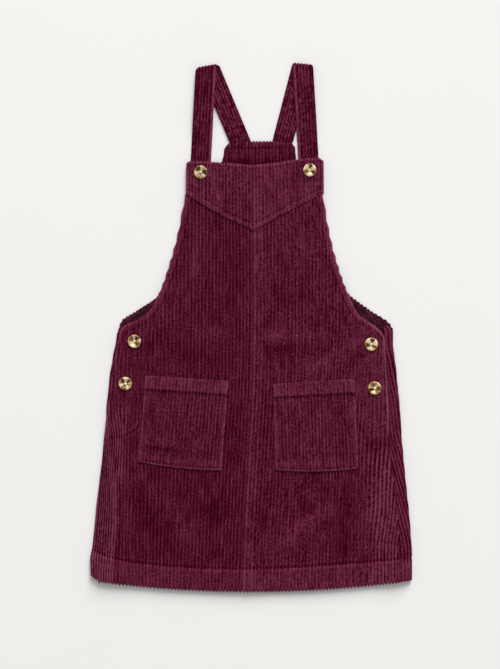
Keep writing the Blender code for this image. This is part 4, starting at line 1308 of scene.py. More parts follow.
def pocket_form(patch, across, down):
    """Points of a pocket by their shares across and down it: x, height, underside and crown height."""
    top_left, top_right, bottom_right, bottom_left = (np.array(corner, float) for corner in patch.corners)
    across, down = np.broadcast_arrays(across, down)
    share, low = across[..., None], down[..., None]
    upper_edge = top_left + (top_right - top_left) * share
    lower_edge = bottom_left + (bottom_right - bottom_left) * share
    points = upper_edge + (lower_edge - upper_edge) * low
    x, height = points[..., 0], points[..., 1]
    height = height - patch.sag * 4 * across * (1 - across) * down**3
    x = x + 0.25 * uneven(x, height * 0.4, 12.0, 41) * step(across, 0.0, 0.08) * until(across, 0.92, 1.0)
    hem = POCKET_HEM / POCKET_DEPTH
    base = front_form(x, height, patch.half)[0] + SEAM_GAP + 0.1 + POCKET_LIP * until(down, 0, hem)
    wall = CLOTH + POCKET_HEM_LIFT * until(down, hem, hem + 0.03)
    from_side, from_foot = np.minimum(across, 1 - across) * POCKET_WIDTH, (1 - down) * POCKET_DEPTH
    wall = wall + POCKET_TURN_LIFT * until(np.minimum(from_side, from_foot), *POCKET_TURN)
    wall = wall + 0.7 * bump(from_foot - POCKET_DENT, 3.6) * step(from_side, 4, 14)
    wall = wall + POCKET_SWELL * (4 * across * (1 - across)) ** 0.8 * (4 * down * (1 - down)) ** 0.8
    return x, height, base, base + wall + 0.45 * uneven(x, height, 17.0, 6)


def sew_pocket(patch):
    """Notes the stitches down a pocket's sides, under its hem and along its foot."""
    ends, runs = np.linspace(0.02, 0.97, 60), np.linspace(0.03, 0.97, 60)
    rows = [(np.full(60, share), ends, 0.5) for share in (0.030, 0.970)]
    rows += [
        (runs, np.full(60, share), sink)
        for share, sink in ((POCKET_HEM / POCKET_DEPTH, 0.7), (1 - 3.0 / POCKET_DEPTH, 0.5))
    ]
    for across, down, sink in rows:
        x, height, _, crown = pocket_form(patch, across, down)
        SEWN.append(grid(x, height, crown - sink))


def pocket(patch):
    """A patch pocket, its top hem turned down and its other edges turned under."""
    counts = wale_counts(0, POCKET_WALES)
    inset_x, inset_y = EDGE_ROLL * 0.9 / POCKET_WIDTH, EDGE_ROLL / POCKET_DEPTH
    across = (inset_x + (1 - 2 * inset_x) * counts / counts[-1])[None, :]
    down = np.array([
        0, 0.01, 0.03, *np.linspace(0.05, 0.24, 20), *np.linspace(0.255, 0.965, 60), 0.98, 0.99, 1.0,
    ])
    down = (inset_y + (1 - 2 * inset_y) * down)[:, None]
    x, height, base, crest = pocket_form(patch, across, down)
    across, down = across + 0 * x, down + 0 * x
    from_side, from_foot = np.minimum(across, 1 - across) * POCKET_WIDTH, (1 - down) * POCKET_DEPTH
    from_edge, past_hem = np.minimum(from_side, from_foot), down * POCKET_DEPTH - POCKET_HEM
    fleece = pile(counts, x)
    z = crest - WALE_DEPTH * (1 - fleece) * (1 - 0.5 * until(from_side, 2.0, 4.5))
    z = z + lined(from_edge, EDGE_SUNK) + lined(past_hem, HEM_SUNK, HEM_RAISED)
    # a painted highlight just inside the pocket's edges
    nap = POCKET_TONE + HEM_TONE * until(past_hem, -2.5, -0.5) + lined(from_edge, POCKET_EDGE_HIGHLIGHT)
    # painted shade in the sunk hem fold and in the sunk edge stitching
    nap = nap - 0.42 * (1.2 - 0.6 * fleece) * bump(past_hem, 1.2) + lined(from_edge, POCKET_EDGE_SHADE)
    dent = bump(from_foot - POCKET_DENT, 2.4) * step(from_side, 4, 14)
    dent = dent * ((1.0 - 0.8 * step(across, 0.35, 0.6)) if patch.half is LEFT else 0.3)
    nap = nap - 0.30 * dent + 0.12 * until(from_foot, 9, 16) + 0.14 * until(from_side, 5.5, 8.0)
    sew_pocket(patch)
    turned = np.maximum(until(from_edge, *POCKET_TURN), until(past_hem, -1.0, 1.0))
    fleece = flattened(fleece, patch.worn + 0.45 * turned)
    grids = [
        grid(x, height, z), grid(x, height, base), fleece, nap, weave_place(counts * WALE, height, patch.lot),
        EDGE_ROLL * 0.9 - POCKET_SCALLOP * (1 - fleece),
    ]
    piece = cloth_piece(patch.name + "_cloth", *(values[::-1] for values in grids), finished("corduroy_face"))
    return done(piece, "corduroy", patch.name)


# ---- buttons ----


def ringed_faces(first, rings, sides):
    """The faces between rings of points that follow one another, and the first and the last ring."""
    loops = [np.arange(sides) + first + sides * k for k in range(rings)]
    faces = []
    for inner, outer in zip(loops, loops[1:]):
        faces += np.stack([inner, outer, np.roll(outer, -1), np.roll(inner, -1)], axis=-1).tolist()
    return faces, loops[0], loops[-1]


def button_disc(spec, seat, thick, centre, radius, holes):
    """The horn disc, with its mottling and its holes as values at its points."""
    profile = np.array(BUTTON_FACE)
    rings = np.array([
        *np.linspace(0.0, 0.8, 4), *np.arange(0.92, 3.0, 0.11), *np.linspace(3.2, 5.0, 7),
        *(radius * np.array([0.68, 0.72, 0.76, 0.80, 0.85, 0.90, 0.94, 0.97, 0.99, 1.0])),
    ])
    turns = np.linspace(0, 2 * math.pi, BUTTON_SIDES, endpoint=False)
    reach, angle = np.meshgrid(rings, turns, indexing="ij")
    face = seat + thick * through(profile[:, 0], profile[None, :, 1], reach / radius)[0]
    x, y = reach * np.cos(angle), reach * np.sin(angle)
    drilled = np.zeros_like(x)
    for hole in holes:
        drilled = np.maximum(drilled, until(np.hypot(x - hole[0], y - hole[1]), *HOLE_EDGE))
    upper = grid(x, y, face - drilled * (face - seat - HOLE_FLOOR)).reshape(-1, 3)[BUTTON_SIDES - 1:]
    under = [
        (radius * share * math.cos(t), radius * share * math.sin(t), seat + thick * level)
        for share, level in BUTTON_FOOT for t in turns
    ]
    points = np.concatenate([upper, np.array(under), [(0, 0, seat)]])
    last = len(points) - 1
    around, inmost, lowest = ringed_faces(1, len(rings) - 1 + len(BUTTON_FOOT), BUTTON_SIDES)
    faces = [(0, int(a), int(b)) for a, b in zip(inmost, np.roll(inmost, -1))] + around
    faces += [(last, int(b), int(a)) for a, b in zip(lowest, np.roll(lowest, -1))]
    shade = np.zeros(len(points))
    shade[: len(upper)] = drilled.reshape(-1)[BUTTON_SIDES - 1:]
    far = np.hypot(points[:, 0], points[:, 1]) / radius
    fan = (points[:, :2] / np.maximum(far * radius, 0.05)[:, None]) * (0.45 + 0.55 * far)[:, None]
    pattern = np.column_stack([fan, np.full(len(points), spec.wedges[0][0] * 0.37)])
    bearing = np.degrees(np.arctan2(points[:, 1], points[:, 0]))
    ragged = RAGGEDNESS * uneven(far * 3, bearing / 30, 1.0, len(spec.name))
    brown = np.zeros(len(points))
    for turn, reach_round, shade_of in spec.wedges:
        away = np.abs((bearing + ragged - turn + 180) % 360 - 180)
        brown = np.maximum(brown, shade_of * until(away, reach_round * 0.5, reach_round * 1.35))
    brown = brown * step(far, 0.10, 0.30) * (1 - 0.6 * step(far, 0.80, 0.96))
    points[:, :2] += centre
    attributes = (("horn", "FLOAT_VECTOR", pattern), ("hole", "FLOAT", shade), ("brown", "FLOAT", brown))
    return add_mesh(spec.name + "_horn", points, faces, finished("horn"), attributes)


def button(spec):
    """A four-hole button: rounded rim, dished face, and a cross of thread that holds it."""
    low, high = (np.array(corner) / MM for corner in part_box(spec.name))
    seat, thick, radius = low[2], high[2] - low[2], (high[0] - low[0]) / 2
    centre = np.array([(low[0] + high[0]) / 2, (low[1] + high[1]) / 2 + LENGTH / 2])
    bearings = math.radians(spec.wedges[0][0]) + math.pi / 4 + np.arange(4) * math.pi / 2
    holes = BUTTON_HOLE_RING * np.stack([np.cos(bearings), np.sin(bearings)], axis=-1)
    done(button_disc(spec, seat, thick, centre, radius, holes), "button_horn", spec.name)
    # the cross's pale thread also stands in for the highlight at the button's middle: a painted highlight
    cross = []
    for a in (0, 1):
        middle = seat + thick * BUTTON_FACE[0][1] + 0.16 + 0.14 * a
        spots = [centre + holes[a] * share for share in THREAD_SHARES]
        cross.append([(*spot, middle + lift) for spot, lift in zip(spots, THREAD_SAG)])
    return done(tube(spec.name + "_thread", cross, THREAD_RADIUS, finished("button_thread")), "button_horn")


def tube(name, paths, radius, material, sides=8):
    """Round cords that follow paths, closed at both ends."""
    points, faces = [], []
    turns = 2 * math.pi * np.arange(sides) / sides
    for path in paths:
        path = np.array(path)
        along = np.gradient(path, axis=0)
        along /= np.linalg.norm(along, axis=1, keepdims=True)
        across = np.cross(along, (0, 0, 1.0))
        across /= np.linalg.norm(across, axis=1, keepdims=True)
        up = np.cross(across, along)
        first = len(points)
        for spot, a, u in zip(path, across, up):
            points += [spot + radius * (a * math.cos(t) + u * math.sin(t)) for t in turns]
        around, start, end = ringed_faces(first, len(path), sides)
        faces += [*around, start.tolist(), end[::-1].tolist()]
    return add_mesh(name, points, faces, material)


# ---- straps ----


def unit(vector):
    return vector / np.linalg.norm(vector)


class StrapRun:
    """How a strap runs: up from its button, over its fold and down to the back bib."""

    def __init__(self, leg):
        self.start, fold, end = (np.array(spot, float) for spot in (leg.start, leg.fold, leg.back_end))
        self.up, down = unit(fold - self.start), unit(end - fold)
        self.lateral = np.array([self.up[1], -self.up[0]])
        self.out = unit(self.up - down)
        self.crease = np.array([self.out[1], -self.out[0]])
        self.slide = leg.slide
        rim = STRAP_THICK + SEAM_GAP / 2
        self.radius = rim - STRAP_THICK / 2
        self.axis = self.out @ fold - rim
        self.to_axis = (self.axis - self.out @ self.start) / (self.out @ self.up)
        self.wrap = math.pi * self.radius / (self.out @ self.up)
        back_lateral = self.lateral - 2 * (self.out @ self.lateral) * self.out
        self.end_shear = down[0] / back_lateral[0]
        self.fold_shear = (self.crease @ self.up) / (self.crease @ self.lateral)
        fold_point = self.start + self.up * self.to_axis + self.crease * leg.slide
        back_run = (fold_point[1] - leg.back_end.height + STRAP_TUCK) / abs(down[1])
        self.total = self.to_axis + self.wrap + back_run

    def shear(self, s):
        """How much further a row runs for each step across the strap."""
        turns = (0, self.to_axis, self.to_axis + self.wrap, self.total)
        return np.interp(s, turns, (0, self.fold_shear, self.fold_shear, self.end_shear))

    def from_fold(self, s):
        return s - self.to_axis - self.wrap / 2

    def place(self, u, along, reach, descent):
        """A point of the strap: across it, along it, and out from its middle."""
        flat = self.start + self.up * along[..., None] + self.lateral * (u + 0 * along)[..., None]
        past = flat @ self.out - self.axis
        turn = np.clip(past / self.radius, 0, math.pi)
        slid = self.crease * (self.slide * turn / math.pi)[..., None]
        base = flat - self.out * np.maximum(past, 0)[..., None] + slid
        height = STRAP_THICK + SEAM_GAP / 2 + self.radius * np.cos(turn) - descent * (STRAP_THICK + SEAM_GAP)
        spot = base + self.out * ((self.radius + reach) * np.sin(turn))[..., None]
        beyond = past > math.pi * self.radius
        straight = base - self.out * (past - math.pi * self.radius)[..., None]
        spot = np.where(beyond[..., None], straight, spot)
        return np.concatenate([spot, (height + reach * np.cos(turn))[..., None]], axis=-1)


def sew_strap(run, s, descent):
    """Notes the rows of stitches along both edges of a strap, on its face and on its underside."""
    for row in (-STRAP_STITCH, STRAP_STITCH):
        for face in (1, -1):
            reach = np.full(s.shape, face * (STRAP_THICK / 2 - 0.4))
            spots = run.place(np.full(s.shape, row), s + row * run.shear(s), reach, descent)
            SEWN.append(spots[:, 0] if face > 0 else spots[: len(s) * 2 // 3, 0])


def strap_nap_and_shade(run, u, s, along, fleece, stitch, pucker, left):
    """How light a strap is made: painted shade in its puckers, and a painted highlight on its front leg's
    edge.
    """
    inner = u if left else -u
    front_part = until(s, run.to_axis - 4, run.to_axis + 4)
    sunk_shade = step(pucker, -0.1, 0.8) * (1.05 - 0.85 * fleece)
    # a painted highlight along the inner edge of the front leg
    nap = 0.10 + 0.10 * (1 - front_part) + bump(inner - STRAP_WIDTH / 2 + 1.5, 1.3) * front_part
    # painted shade in the sunk stitching and in the puckers' troughs
    nap = nap - 0.55 * stitch - sunk_shade * (0.20 + 0.42 * (1 - front_part))
    nap = nap + 0.36 * uneven(u * 0.9, along, 2.4, 54) * (1.1 - 0.4 * front_part)
    # painted shadow where the back end meets the back bib's top edge, and a painted highlight along the fold
    nap = nap - 0.5 * bump(run.total - s, 1.6) + 0.25 * bump(run.from_fold(s), 1.6)
    return nap - 0.16 * bump(s - run.to_axis + 34.0, 22.0) * left


def strap(leg):
    """A doubled strip that leaves the back bib, folds over and comes down behind the front yoke."""
    run = StrapRun(leg)
    to_axis, wrap, total = run.to_axis, run.wrap, run.total
    s = np.array([
        *np.linspace(-STRAP_UNDERLAP, to_axis - 6, 74), *np.linspace(to_axis - 4.5, to_axis + wrap + 4.5, 24),
        *np.linspace(to_axis + wrap + 6, total, 60),
    ])[:, None]
    counts = wale_counts(0, STRAP_WALES)
    u = (counts / counts[-1] - 0.5) * (STRAP_WIDTH - 2 * STRAP_ROLL)
    along = s + u * run.shear(s)
    descent = step(to_axis - s, *STRAP_DESCENT)
    fleece = pile(counts, along)
    stitch = 0.5 * bump(np.abs(u) - STRAP_STITCH, 0.8) * np.ones_like(along)
    relief = WALE_DEPTH * 0.9 * (1 - fleece) * (1 + 0.2 * uneven(u, s, 5.0, 51)) + stitch
    pucker = np.sin(2 * math.pi * (along / STRAP_PUCKER + 0.8 * uneven(u * 0.5, along, 8.0, 53)))
    relief = relief + 0.14 * pucker * (1 - bump(run.from_fold(s), 9.0))
    fold_scallop = 0.8 * (1 - tooth(counts)) * bump(run.from_fold(s), 3.6)
    upper = run.place(u, along, STRAP_THICK / 2 - relief - fold_scallop, descent)
    under = run.place(u, along, relief - STRAP_THICK / 2, descent)
    sew_strap(run, s, descent)
    left = leg.fold.across < 0
    nap = strap_nap_and_shade(run, u, s, along, fleece, stitch, pucker, left)
    outs = np.zeros_like(upper)
    outs[0], outs[-1] = upper[0] - upper[1], upper[-1] - upper[-2]
    outs[:, 0], outs[:, -1] = upper[:, 0] - upper[:, 3], upper[:, -1] - upper[:, -4]
    outs /= np.maximum(np.linalg.norm(outs, axis=-1, keepdims=True), TINY)
    bulge = np.full(along.shape, STRAP_ROLL)
    bulge[0], bulge[-1] = 0.2, 0.05
    piece = cloth_piece(
        leg.name + "_cloth", upper, under, fleece, nap, weave_place(u, along, leg.lot), bulge,
        finished("corduroy_face"), skip=1, outs=outs, lining=(fleece, nap),
    )
    return done(piece, "corduroy", leg.name)


# ---- back ----


def side_roll(outline, seam_x, seam_z, share, sign):
    """Points (x, z) of the cloth's middle, from the flat back up round the side to its seam."""
    radius = min(ROLL_RADIUS, (seam_z - MIDDLE) / 2)
    edge_x = outline - sign * MIDDLE
    width, rise = sign * abs(edge_x - seam_x), seam_z - MIDDLE - radius
    arc = [
        (edge_x - sign * radius * (1 - math.sin(a)), MIDDLE + radius * (1 - math.cos(a)))
        for a in np.radians(ROLL_TURNS)
    ]
    inward = np.array([0.02, 0.06, 0.12, 0.22, 0.4, 0.6, 0.8, 1.0])
    up = through(np.array([0, 0.06, 0.4, 1.0]), np.array([[0, 0.45, 0.78, 1.0]]), inward)[0]
    over = [(edge_x - width * i, MIDDLE + radius + rise * u) for i, u in zip(inward, up)]
    path = np.array([*arc, *over])
    run = run_of(path)
    return read_at(path, run, np.linspace(0, share, 14) * run[-1])


def rolled_section(height):
    """The back's middle line across the skirt at a height: flat, with both sides rolled up to the front."""
    lowered, tucked = step(height, *SEAM_LOWERED), step(height, *SIDE_TUCKED)
    level = max(height, CORNER)
    left_edge, right_edge = LEFT_SIDE(level), RIGHT_SIDE(level)
    reach = UNDERLAP * tucked + SEAM_OVERLAP * (1 - tucked)
    left_z = max(float(bed(left_edge + UNDERLAP, height)) - SEAM_GAP - MIDDLE, 2 * CLOTH)
    right_z = float(bed(right_edge, height)) + MIDDLE - lowered * (CLOTH + SEAM_GAP + 0.1)
    right_z = right_z + 0.7 * CLOTH * until(height, *HEM_SEAM_RAISED) + 0.1 * (1 - lowered)
    corner = until(height, *ROLL_ENDS)
    right_share = ROLL_START + (1 - ROLL_START) * corner
    left_share = ROLL_START + (1 - ROLL_START) * corner * step(height, *LEFT_ROLL_STARTS)
    left_roll = side_roll(LEFT_OUT(level), left_edge + reach, left_z, left_share, -1)
    right_roll = side_roll(RIGHT_OUT(level), right_edge - reach, right_z, right_share, 1)
    flat = [(x, MIDDLE) for x in (LEFT_OUT(level) + ROLL_FOOT, 0, RIGHT_OUT(level) - ROLL_FOOT)]
    return np.array([*left_roll[::-1], *flat, *right_roll])


def back_sections():
    """The back's middle line at each height, as x and z against the run of the cloth from X 0."""
    levels = np.arange(0.0, BACK_TOP + 5.0, 2.0)
    runs = np.arange(-250.0, 250.5, 0.5)
    table_x, table_z, ends = [], [], []
    for height in levels:
        if height <= ARMPIT:
            path = rolled_section(height)
        else:
            path = np.array([(x, MIDDLE) for x in (LEFT_ARMHOLE(height), 0, RIGHT_ARMHOLE(height))])
        run, flat = run_of(path), path[:, 1] <= MIDDLE + TINY
        run = run - np.interp(0, path[flat, 0], run[flat])
        ends.append((run[0], run[-1]))
        table_x.append(np.interp(runs, run, path[:, 0]))
        table_z.append(np.interp(runs, run, path[:, 1]))
    return levels, runs, np.array(table_x), np.array(table_z), np.array(ends)


def read_table(levels, runs, table, level, run):
    """A table's value between its rows and columns."""
    i = np.clip((level - levels[0]) / (levels[1] - levels[0]), 0, len(levels) - 1.001)
    j = np.clip((run - runs[0]) / (runs[1] - runs[0]), 0, len(runs) - 1.001)
    a, b = i.astype(int), j.astype(int)
    s, t = i - a, j - b
    low = table[a, b] * (1 - t) + table[a, b + 1] * t
    high = table[a + 1, b] * (1 - t) + table[a + 1, b + 1] * t
    return low * (1 - s) + high * s


def back_columns(levels, ends):
    """The back's wales: their counts, and how far along the cloth and up it they run."""
    fine = np.arange(EDGE_ROLL + HEM_SETBACK, BACK_TOP - TOP_ROLL, 1.0)
    counts = wale_counts(*BACK_WALES, BACK_WALE_POINTS)
    lean = step(fine, *LEAN_HEIGHTS) * (np.minimum(fine, 190) - 60) * LEAN
    across = counts * WALE * BACK_EASE + lean[:, None] * step(counts, *LEAN_WALES)
    first, last = np.interp(fine, levels, ends[:, 0]), np.interp(fine, levels, ends[:, 1])
    tilt_left, tilt_right = np.gradient(first, fine), np.gradient(last, fine)
    margin = np.where(fine > ARMPIT, 1.3, 0.2)
    room_left = (across - first[:, None]) / np.sqrt(1 + tilt_left**2)[:, None]
    room_right = (last[:, None] - across) / np.sqrt(1 + tilt_right**2)[:, None]
    room = np.minimum(room_left, room_right) - margin[:, None]
    rows = at_shares([0, 0.004, 0.012, *np.linspace(0.025, 0.97, 104), 0.985, 1.0])
    counts, run, level = kept_columns(fine, counts, across, room, SHORTEST_WALE, rows)
    return counts, run, level, np.interp(level, fine, last) - run


def back():
    """The back: flat from the hem to the back bib, its sides rolled up to meet the front."""
    levels, runs, table_x, table_z, ends = back_sections()
    counts, run, level, from_seam = back_columns(levels, ends)

    def read(table, further=0.0):
        return read_table(levels, runs, table, level, run + further)

    x, z = read(table_x), read(table_z)
    dx, dz = (read(table, TILT_REACH) - read(table, -TILT_REACH) for table in (table_x, table_z))
    size = np.maximum(np.hypot(dx, dz), 1e-6)
    normal_x, normal_z = -dz / size, dx / size
    height = level + hem_lift(x, level) - HEM_SETBACK * step(z, *RAISED) * until(level, 4, 24)
    fleece = pile(counts, x)
    from_hem = height - hem_line(x)
    outer = -MIDDLE + WALE_DEPTH * (1 - fleece) + 0.5 * bump(from_hem, 1.5)
    inner = MIDDLE + np.where(normal_z > 0.999, until(from_hem, -1, 2) * CLOTH, 0.0)
    outer_face = grid(x + normal_x * outer, height, z + normal_z * outer)
    inner_face = grid(x + normal_x * inner, height, z + normal_z * inner)
    bulge = np.where(level > ARMPIT, 0.5 + 1.4 * tooth(counts)[None, :], 0.15)
    bulge[0] = EDGE_ROLL - EDGE_SCALLOP + EDGE_SCALLOP * tooth(counts)
    bulge[-1, level[-1] > BACK_TOP - 4] = 0.9
    rolled = step(z, *RAISED) * (level < ARMPIT)
    nap = rolled * (0.40 * step(fleece, 0.2, 0.9) - 0.16 * (1 - fleece) + 0.2 * until(height, 38, 40))
    seam_shade = 0.35 * bump(from_seam, 1.8) * until(level, 150, 186)
    nap = nap - seam_shade * (1 + 0.8 * uneven(x, height, 3.0, 78))
    shown = step(level, 300, 312) * until(level, *ARMHOLE_SHOWN)
    rim_away = armhole_inset(x, np.maximum(level, ARMPIT + 1))
    # painted shade inside the armholes, deeper on the right and lighter along the rim
    inner_nap_and_shade = shown * (SHADED - 0.16 * step(x, 136, 150) + 0.26 * bump(rim_away, 2.4))
    inner_nap_and_shade = inner_nap_and_shade + 0.5 * shown * uneven(x, height, 3.4, 75)
    grids = mirrored((outer_face, inner_face, fleece, nap, weave_place(run, height, BACK_LOT), bulge))
    lining = mirrored((0.35 + 0.4 * fleece, inner_nap_and_shade))
    outs = np.zeros_like(grids[0])
    rim = loop_of(*x.shape)
    outs.reshape(-1, 3)[rim] = -outward(grids[0].reshape(-1, 3)[rim])
    # where the armholes show the back's lining, it takes the painted shade
    piece = cloth_piece(
        "back_cloth", *grids, finished("corduroy_face"), skip=2, outs=outs, lining=lining,
        inside=(shown * (1 - rolled))[:, ::-1],
    )
    return done(piece, "corduroy", "back")


def armhole_inset(x, height):
    """How far inside the back's armhole edges a point is, measured square to them."""
    return np.minimum(square_inset(LEFT_ARMHOLE, x, height), square_inset(RIGHT_ARMHOLE, x, height))


def facing_columns():
    """The facing's wales: their counts, and places across and up it."""
    counts = wale_counts(*FACING_WALES, FACING_WALE_POINTS)
    fine = np.arange(FACING_FOOT, BACK_TOP + BACK_RISE - TOP_ROLL, 1.0)
    across = counts * WALE * FACING_EASE + 1.0 + 0 * fine[:, None]
    across = across + 0.25 * uneven(across, fine[:, None] * 0.4, 12.0, 71)
    left = np.maximum(LEFT_ARMHOLE(fine) + SEAM_GAP, -FACING_HALF_WIDTH)[:, None]
    right = np.minimum(RIGHT_ARMHOLE(fine) - SEAM_GAP, FACING_HALF_WIDTH)[:, None]
    tilt_left, tilt_right = (np.sqrt(1 + np.gradient(e[:, 0], fine) ** 2)[:, None] for e in (left, right))
    room = np.minimum((across - left) / tilt_left, (right - across) / tilt_right) - 1.2
    rows = at_shares([0, 0.01, *np.linspace(0.03, 0.93, 52), 0.945, 0.96, 0.972, 0.985, 1.0])
    return kept_columns(fine, counts, across, room, SHORTEST_FACING, rows)


def back_facing():
    """Faces the inside of the back bib, its wales upwards."""
    counts, x, height = facing_columns()
    fleece = pile(counts, x)
    base = CLOTH + SEAM_GAP + 0 * x
    hidden = step(height, 505, 515) + until(height, 350, 375) * step(np.abs(x), 60, 90)
    crest = base + FACING + 0.5 * uneven(x, height, 22.0, 72) * np.minimum(hidden, 1) * (height > 500)
    top = np.stack([np.linspace(-26, 48, 20), np.full(20, BACK_TOP - FACING_TOP_STITCH)], axis=-1)
    sides = [side_path(side, *FACING_STITCHED, FACING_SIDE_STITCH) for side in (LEFT_ARMHOLE, RIGHT_ARMHOLE)]
    seams = [Seam(top, 0.5, 1.2), *(Seam(path, 0.4, 1.2) for path in sides)]
    sliver = until(height, *ARMHOLE_SHOWN)
    rim_away = armhole_inset(x, height)
    # inside the armholes: a painted highlight along the rim and painted shadow under the front's edge
    shade = SHADED + lined(rim_away, RIM_LIGHT, RIM_SHADE) + 0.5 * uneven(x, height, 3.4, 76)
    # a painted highlight along the back bib's top edge
    nap = 0.02 + sliver * shade + 0.2 * bump(BACK_TOP - height - 1.6, 2.0)
    # painted shadow behind the front bib's top edge
    nap = nap - 0.35 * until(height, 517, 523)
    sew(seams, lambda across, up: CLOTH + SEAM_GAP + FACING + 0 * across)
    z, nap = stitched(x, height, crest - 0.75 * (1 - fleece), nap, seams, fleece)
    # the slivers inside the armholes take the painted shade
    piece = cloth_piece(
        "back_facing_cloth", grid(x, height, z), grid(x, height, base), fleece, nap,
        weave_place(counts * WALE, height, FACING_LOT), 0.1 + 1.9 * tooth(counts)[None, :] + 0 * x,
        finished("corduroy_facing"), skip=5, inside=sliver,
    )
    return done(piece, "corduroy_inside", "back_facing")


def button_stand(name, half):
    """The underlap beside a placket, between the back and the front."""
    counts = wale_counts(0, STAND_WALES, BACK_WALE_POINTS)
    level = np.linspace(STAND_FOOT, STAND_TOP, 30)[:, None]
    outer = half.side(level) - half.sign * (UNDERLAP + 2 * SEAM_GAP)
    x = outer - half.sign * STAND_WIDTH * counts / counts[-1]
    below = np.maximum(bed(x, level) - SEAM_GAP - CLOTH, CLOTH + SEAM_GAP)
    fleece = pile(counts, x)
    height = level + 0 * x
    z = below + CLOTH - 0.1 - 0.7 * (1 - fleece)
    grids = [
        grid(x, height, z), grid(x, height, below), fleece, 0 * x - 0.3,
        weave_place(counts * WALE, height, STAND_LOT), np.full(x.shape, 0.25),
    ]
    piece = cloth_piece(
        name + "_cloth", *(mirrored(grids) if half is RIGHT else grids), finished("corduroy_face"), skip=4,
    )
    return done(piece, "corduroy", name)


# ---- stitches ----


def stitch_tree(material):
    """Lays one stitch after another along every line of a mesh."""
    tree = bpy.data.node_groups.new("stitches", "GeometryNodeTree")
    face = tree.interface
    face.new_socket("Geometry", in_out="INPUT", socket_type="NodeSocketGeometry")
    for label in STITCH_SIZES:
        socket = face.new_socket(label, in_out="INPUT", socket_type="NodeSocketFloat")
        socket.subtype = "DISTANCE"
    face.new_socket("Geometry", in_out="OUTPUT", socket_type="NodeSocketGeometry")

    def node(kind, settings=(), **links):
        made = tree.nodes.new(kind)
        for key, value in dict(settings).items():
            setattr(made, key, value)
        for key, value in links.items():
            socket = made.inputs[key.replace("_", " ")]
            if isinstance(value, bpy.types.NodeSocket):
                tree.links.new(value, socket)
            else:
                socket.default_value = value
        return made

    given = node("NodeGroupInput").outputs
    lines = node("GeometryNodeMeshToCurve", Mesh=given["Geometry"])
    spots = node(
        "GeometryNodeCurveToPoints", {"mode": "LENGTH"},
        Curve=lines.outputs["Curve"], Length=given["Spacing"],
    )
    turn = node("FunctionNodeAlignRotationToVector", {"axis": "X"}, Vector=spots.outputs["Tangent"])
    size = node("ShaderNodeCombineXYZ", X=given["Length"], Y=given["Width"], Z=given["Rise"])
    bead = node("GeometryNodeMeshUVSphere", Segments=6, Rings=4, Radius=0.5)
    placed = node(
        "GeometryNodeInstanceOnPoints", Points=spots.outputs["Points"], Instance=bead.outputs["Mesh"],
        Rotation=turn.outputs["Rotation"], Scale=size.outputs["Vector"],
    )
    real = node("GeometryNodeRealizeInstances", Geometry=placed.outputs["Instances"])
    coloured = node("GeometryNodeSetMaterial", Geometry=real.outputs["Geometry"], Material=material)
    node("NodeGroupOutput", Geometry=coloured.outputs["Geometry"])
    return tree


def stitches(settings):
    """All the rows of stitches as one piece."""
    edges, first = [], 0
    for path in SEWN:
        edges += [(first + i, first + i + 1) for i in range(len(path) - 1)]
        first += len(path)
    lines = placed_mesh("seam_lines", np.concatenate(SEWN), edges, [])
    tree = stitch_tree(finished("thread"))
    sewing = lines.modifiers.new("stitches", "NODES")
    sewing.node_group = tree
    for item in tree.interface.items_tree:
        if item.in_out == "INPUT" and item.name in STITCH_SIZES:
            sewing[item.identifier] = getattr(settings, item.name.lower())
    bpy.context.view_layer.update()
    graph = bpy.context.evaluated_depsgraph_get()
    made = bpy.data.meshes.new_from_object(lines.evaluated_get(graph), depsgraph=graph)
    lines.modifiers.remove(sewing)
    bpy.data.objects.remove(lines)
    made.name = "stitches"
    made.shade_smooth()
    piece = bpy.data.objects.new("stitches", made)
    bpy.context.collection.objects.link(piece)
    return done(piece, "corduroy")


# ---- the operators' settings ----


def colour_setting(name, description, default):
    """A colour that the panel's user can change."""
    return bpy.props.FloatVectorProperty(
        name=name, description=description, subtype="COLOR", size=3, min=0, max=1, default=default,
    )


def length_setting(name, description, default):
    """A length in metres that the panel's user can change."""
    return bpy.props.FloatProperty(name=name, description=description, unit="LENGTH", default=default)


class PinaforeCloth(bpy.types.PropertyGroup):
    colour: colour_setting("Corduroy", "Colour of the pile", (0.076, 0.0048, 0.0192))
    facing_colour: colour_setting("Facing", "Colour of the back bib's facing", (0.074, 0.0050, 0.0190))
    thread_colour: colour_setting("Thread", "Colour of the sewing thread", (0.040, 0.0012, 0.0085))
    # the pale button thread also stands in for the highlight at the buttons' middles: a painted highlight
    button_thread_colour: colour_setting(
        "Button thread", "Colour of the thread that holds the buttons", (0.95, 0.86, 0.68),
    )


class PinaforeSewing(bpy.types.PropertyGroup):
    spacing: length_setting("Spacing", "From one stitch to the next", STITCH_SPACING * MM)
    length: length_setting("Length", "How long a stitch shows", THREAD_SIZE[0] * MM)
    width: length_setting("Width", "How wide a stitch is", THREAD_SIZE[1] * MM)
    rise: length_setting("Rise", "How thick a stitch stands", THREAD_SIZE[2] * MM)


class PinaforeStage(bpy.types.PropertyGroup):
    camera_height: length_setting("Camera height", "Above the surface", 2.0)
    view_width: length_setting("View width", "What the camera takes in across the dress", 0.600)
    floor_colour: colour_setting("Surface", "Colour of the surface under the dress", (0.902, 0.895, 0.880))
    key_power: bpy.props.FloatProperty(
        name="Key light", description="Power of the large light beyond the straps",
        unit="POWER", default=2290.0,
    )
    fill: bpy.props.FloatProperty(
        name="Fill", description="Brightness of the even light from all round", default=0.455,
    )


# ---- surface, camera and lights ----


def linked(name, data, place=(0, 0, 0)):
    """An object in the scene."""
    obj = bpy.data.objects.new(name, data)
    obj.location = place
    bpy.context.collection.objects.link(obj)
    return obj


